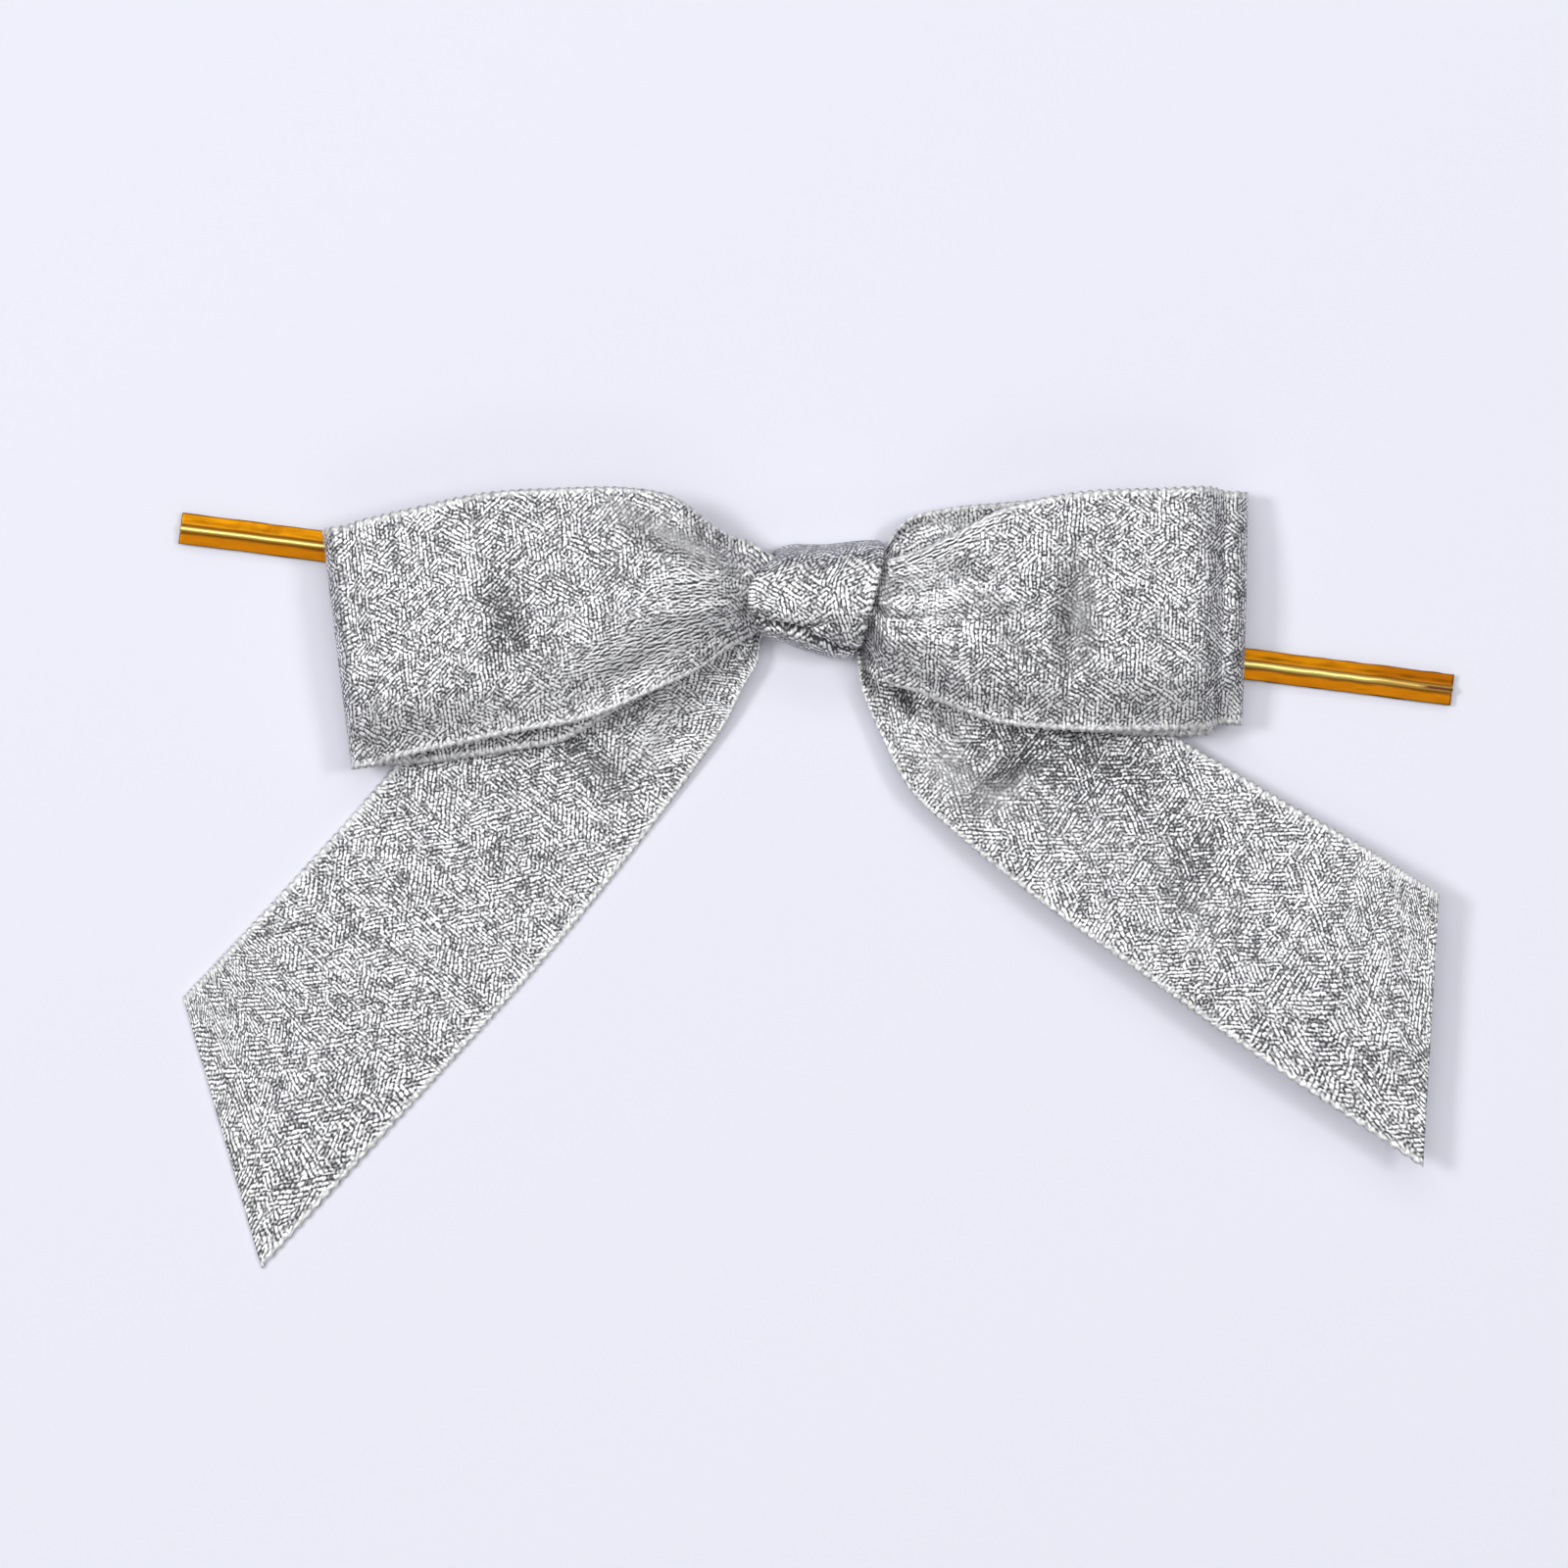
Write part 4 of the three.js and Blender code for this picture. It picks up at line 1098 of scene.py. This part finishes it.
def foil_material():
    """Gold metallised film: deep amber, with a painted highlight along the ridge over the wire, painted
    shade on its lower wing, out along the right arm and in the split at the right end, dark sheared
    edges and fine lengthwise drawing lines."""
    shader = Shader("gold_foil")
    cloth, along, across, seed = shader.cloth()
    stretched = shader.vector(shader.math("MULTIPLY", along, 0.12), across, seed)
    streak = shader.noise(stretched, 2.6, 4.0, 0.6)
    blotch = shader.noise(cloth, 0.5)
    tone = shader.ramp(streak, [
        (0.25, (0.38, 0.14, 0.0012)),
        (0.5, (0.49, 0.19, 0.0015)),
        (0.75, (0.58, 0.235, 0.002)),
    ])
    # Painted shade on the lower wing and out along the right arm, with random blotches of the same colour
    painted_shade_and_darker_patches = shader.spread(across, -0.3, 0.3, 1.0, 0.0)
    painted_shade_and_darker_patches = shader.math("MAXIMUM", painted_shade_and_darker_patches, shader.spread(along, *FOIL_CHANGE, 0.0, 0.6))
    painted_shade_and_darker_patches = shader.math("MAXIMUM", painted_shade_and_darker_patches, shader.spread(blotch, 0.5, 0.75))
    # Near the right end the upper wing gets darker and the painted highlight along the ridge fades
    end_fade = shader.spread(along, *FOIL_END_FADE)
    far_wing = shader.math("MULTIPLY", end_fade, shader.spread(across, 0.1, 0.4))
    painted_shade_and_darker_patches = shader.math("ADD", painted_shade_and_darker_patches, far_wing)
    tone = shader.mix(shader.math("MULTIPLY", painted_shade_and_darker_patches, 0.75), tone, FOIL_SHADE_COLOUR)
    from_axis = shader.math("ABSOLUTE", across)
    # Painted highlight along the ridge over the wire, wider out along the right arm and weaker near its end
    reach = shader.spread(along, *FOIL_CHANGE, 0.25, 0.45)
    ridge = shader.spread(from_axis, 0.05, reach, 1.0, 0.0)
    ridge = shader.math("MULTIPLY", ridge, shader.math("MULTIPLY_ADD", end_fade, -0.65, 1.0))
    flank = shader.spread(from_axis, *FOIL_FLANK, 1.0, 0.0)
    tone = shader.mix(flank, tone, FOIL_FLANK_COLOUR)
    tone = shader.mix(ridge, tone, FOIL_RIDGE_HIGHLIGHT_COLOUR)
    # Painted shade inside the split at the right end, where the two films part
    near_end = shader.spread(along, *FOIL_SPLIT)
    near_axis = shader.spread(from_axis, 0.06, 0.2, 1.0, 0.0)
    split = shader.math("MULTIPLY", near_end, near_axis)
    tone = shader.mix(split, tone, FOIL_SPLIT_SHADE_COLOUR)
    edge = shader.spread(from_axis, TIE_WIDTH / 2 - FOIL_EDGE, TIE_WIDTH / 2)
    tone = shader.mix(edge, tone, FOIL_EDGE_COLOUR)
    relief = shader.bump(streak, 0.02 * MM, 0.4)
    rough = shader.math("MULTIPLY_ADD", ridge, 0.04, shader.spread(streak, 0.2, 0.8, 0.4, 0.32))
    metal = shader.math("MULTIPLY_ADD", shader.math("SUBTRACT", flank, ridge), -0.6, 0.95)
    return shader.surface(Base_Color=tone, Metallic=metal, Roughness=rough, Normal=relief)


def wire_material():
    """Plain drawn steel wire."""
    shader = Shader("steel_wire")
    place_of = shader.node("TexCoord")
    streak = shader.noise(place_of.outputs["Object"], 900.0, 3.0)
    tone = shader.ramp(streak, [(0.3, (0.3, 0.3, 0.31)), (0.7, (0.55, 0.55, 0.57))])
    rough = shader.spread(streak, 0.3, 0.7, 0.3, 0.45)
    return shader.surface(Base_Color=tone, Metallic=1.0, Roughness=rough)


def floor_material():
    """Matte pale paper."""
    shader = Shader("pale_floor")
    return shader.surface(Base_Color=(0.88, 0.885, 0.985, 1), Roughness=0.9)


# Putting the bow together


def dress(piece, material, slot_name, body, *nodes):
    """Gives a piece its material and the nodes that it replaces; slot_name is not used. It rides on a
    body if one is given."""
    piece.data.materials.append(material)
    if body:
        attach(piece, body)
    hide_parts(*nodes)


def build_ribbon(material):
    """The loops, tails, wrap and core of the ribbon."""
    left, left_front = loop_stations(-1, LEFT_MOUTH, LEFT_LOOP_REACH, LEFT_BACK, LEFT_FOLD, LEFT_FRONT)
    right, right_front = loop_stations(
        1, RIGHT_MOUTH, RIGHT_LOOP_REACH, RIGHT_BACK, RIGHT_FOLD, RIGHT_FRONT
    )
    left_end = tail_stations(
        -1, LEFT_TAIL_MOUTH, LEFT_TAIL_LENGTH, LEFT_TAIL, LEFT_TAIL_END, LEFT_TAIL_CUT,
        FLAT_LEVEL, FLAT_LEVEL - TAIL_LEVEL,
    )
    right_end = tail_stations(
        1, RIGHT_TAIL_MOUTH, RIGHT_TAIL_LENGTH, RIGHT_TAIL, RIGHT_TAIL_END, RIGHT_TAIL_CUT,
        TAIL_LEVEL + RIGHT_TAIL_LIFT, RIGHT_TAIL_LIFT,
    )
    left_marks = (LEFT_LOOP_FORMS, LEFT_LOOP_SATIN_PAINTED_LIGHT, LEFT_LOOP_LINES_AND_SHADE)
    right_marks = (RIGHT_LOOP_FORMS, RIGHT_LOOP_SATIN_PAINTED_LIGHT, RIGHT_LOOP_LINES_AND_SHADE)
    left_end_marks = (LEFT_TAIL_FORMS, LEFT_TAIL_SATIN_PAINTED_SHADE, LEFT_TAIL_LINES_AND_SHADE)
    right_end_marks = (RIGHT_TAIL_FORMS, RIGHT_TAIL_SATIN_PAINTED_SHADE, RIGHT_TAIL_LINES_AND_SHADE)
    stretches = [
        ("left_loop", left, left_marks, 11, {"front_start": left_front, "waist": WAIST_FULLNESS}),
        ("right_loop", right, right_marks, 12, {"front_start": right_front}),
        ("left_tail", left_end, left_end_marks, 13, {"ripple": FLAT_RIPPLE_RISE}),
        ("right_tail", right_end, right_end_marks, 14, {}),
    ]
    for node, stations, marks, seed, more in stretches:
        piece, length = ribbon_piece(f"{node}_cloth", stations, marks, seed, **more)
        dress(piece, material, "ribbon", "bow", node)
    wrap, length = knot_piece("knot_wrap_cloth", 15)
    dress(wrap, material, "ribbon", "bow", "knot_wrap")
    core = core_piece("knot_core_cloth", 16)
    dress(core, material, "ribbon", "bow", "knot_core")


def build_tie(foil, steel):
    """The films and the wire of the twist tie, made in two stretches on each side."""
    middle = TIE_MIDDLE_LENGTH / 2
    half = TIE_LENGTH / 2
    pivot = middle + BEND_GAP / 2
    front_profile = film_profile()
    back_profile = np.stack([
        np.linspace(-TIE_WIDTH / 2, TIE_WIDTH / 2, BACK_FILM_COLUMNS),
        np.full(BACK_FILM_COLUMNS, TIE_BASE + FILM_THICKNESS / 2),
    ], -1)
    for side, name, spacing in ((-1, "left", LEFT_BEND_SPACING), (1, "right", RIGHT_BEND_SPACING)):
        far = middle + spacing + BEND_GAP / 2
        halfway = (pivot + far) / 2
        stretches = [
            ("inner", 0, halfway, pivot, "bow", f"{name}_inner_arm"),
            ("outer", halfway, half, far, f"{name}_inner_arm", f"{name}_outer_arm"),
        ]
        for which, near_end, far_end, bend, near_body, far_body in stretches:
            start, end = sorted((side * near_end, side * far_end))
            seed = 20 + side * 3 + (which == "outer")
            stretch = f"tie_{name}_{which}"
            front = film_piece(f"{stretch}_front_foil", start, end, front_profile, seed, FRONT_CRINKLE)
            back = film_piece(f"{stretch}_back_foil", start, end, back_profile, seed + 10, BACK_CRINKLE)
            wire = wire_piece(f"{stretch}_steel", start, end)
            made = [
                (front, foil, "gold_foil", "front_film"),
                (back, foil, "gold_foil", "back_film"),
                (wire, steel, "tie_wire", "wire"),
            ]
            from_point = to_bow(np.array([side * (bend - BEND_HALF), 0.0, TIE_BASE])) * MM
            to_point = to_bow(np.array([side * (bend + BEND_HALF), 0.0, TIE_BASE])) * MM
            for piece, material, slot_name, kind in made:
                nodes = [f"{stretch}_{kind}"]
                if which == "inner" and side < 0:
                    nodes.append(f"tie_middle_{kind}")
                dress(piece, material, slot_name, None, *nodes)
                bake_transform(piece)


# The surface, the lamps and the view

# The surface's size in metres, and how far it lies below the bow
FLOOR_SIZE = 1.5
FLOOR_DROP = 0.02
# Lamps: name, place, width and depth in metres, and radiance
LAMPS = [
    ("overhead", (-0.03, 0.12, 1.3), 1, 0.8, 1.95),
    ("left_key", (-0.75, 0.14, 1.05), 0.3, 0.3, 19),
    ("right_key", (0.68, 0.1, 1.1), 0.3, 0.3, 12),
    ("back_strip", (0, 0.85, 0.9), 1.2, 0.35, 1.7),
    ("front_strip", (0, -0.85, 0.9), 1.2, 0.35, 0.6),
]
SURROUND_STRENGTH = 0.16
# The photograph's side and the middle of the knot in pixels, the size of a pixel, and the camera
PHOTO_SIDE = 1600
KNOT_PIXEL_X = 833
KNOT_PIXEL_Y = 612
PIXEL = 0.1033
CAMERA_HEIGHT = 800
SENSOR_WIDTH = 36


def build_floor():
    """The pale surface that the bow lies on."""
    bpy.ops.mesh.primitive_plane_add(size=FLOOR_SIZE, location=(0, 0, -FLOOR_DROP * MM))
    floor = bpy.context.object
    floor.name = "floor"
    floor.data.materials.append(floor_material())


def soft_lamp(name, position, width, depth, radiance):
    """A rectangular lamp that faces the bow, by its radiance, at which white paper is 1."""
    data = bpy.data.lights.new(name, "AREA")
    data.shape = "RECTANGLE"
    data.size = width
    data.size_y = depth
    data.energy = radiance * math.pi * width * depth
    lamp = bpy.data.objects.new(name, data)
    lamp.location = position
    lamp.rotation_euler = (-Vector(position)).to_track_quat("-Z", "Y").to_euler()
    bpy.context.scene.collection.objects.link(lamp)


def build_light():
    """A broad light overhead, a compact key lamp on each side, a strip at the back and one at the
    front, and a pale surround."""
    for lamp in LAMPS:
        soft_lamp(*lamp)
    world = bpy.data.worlds.new("surround")
    bpy.context.scene.world = world
    world.use_nodes = True
    background = world.node_tree.nodes["Background"]
    background.inputs["Color"].default_value = (1, 1, 1, 1)
    background.inputs["Strength"].default_value = SURROUND_STRENGTH


def build_camera():
    """A camera straight above the bow that frames what the photograph does."""
    centre_x = (PHOTO_SIDE / 2 - KNOT_PIXEL_X) * PIXEL
    centre_y = (KNOT_PIXEL_Y - PHOTO_SIDE / 2) * PIXEL
    data = bpy.data.cameras.new("overhead_camera")
    data.sensor_width = SENSOR_WIDTH
    data.lens = SENSOR_WIDTH * CAMERA_HEIGHT / (PHOTO_SIDE * PIXEL)
    data.clip_start = 0.01
    data.clip_end = 10
    camera = bpy.data.objects.new("overhead_camera", data)
    camera.location = (centre_x * MM, centre_y * MM, CAMERA_HEIGHT * MM)
    bpy.context.scene.collection.objects.link(camera)
    bpy.context.scene.camera = camera


build_camera()
build_light()
build_floor()
build_ribbon(ribbon_material())
build_tie(foil_material(), wire_material())
bpy.context.scene.view_settings.view_transform = "Standard"
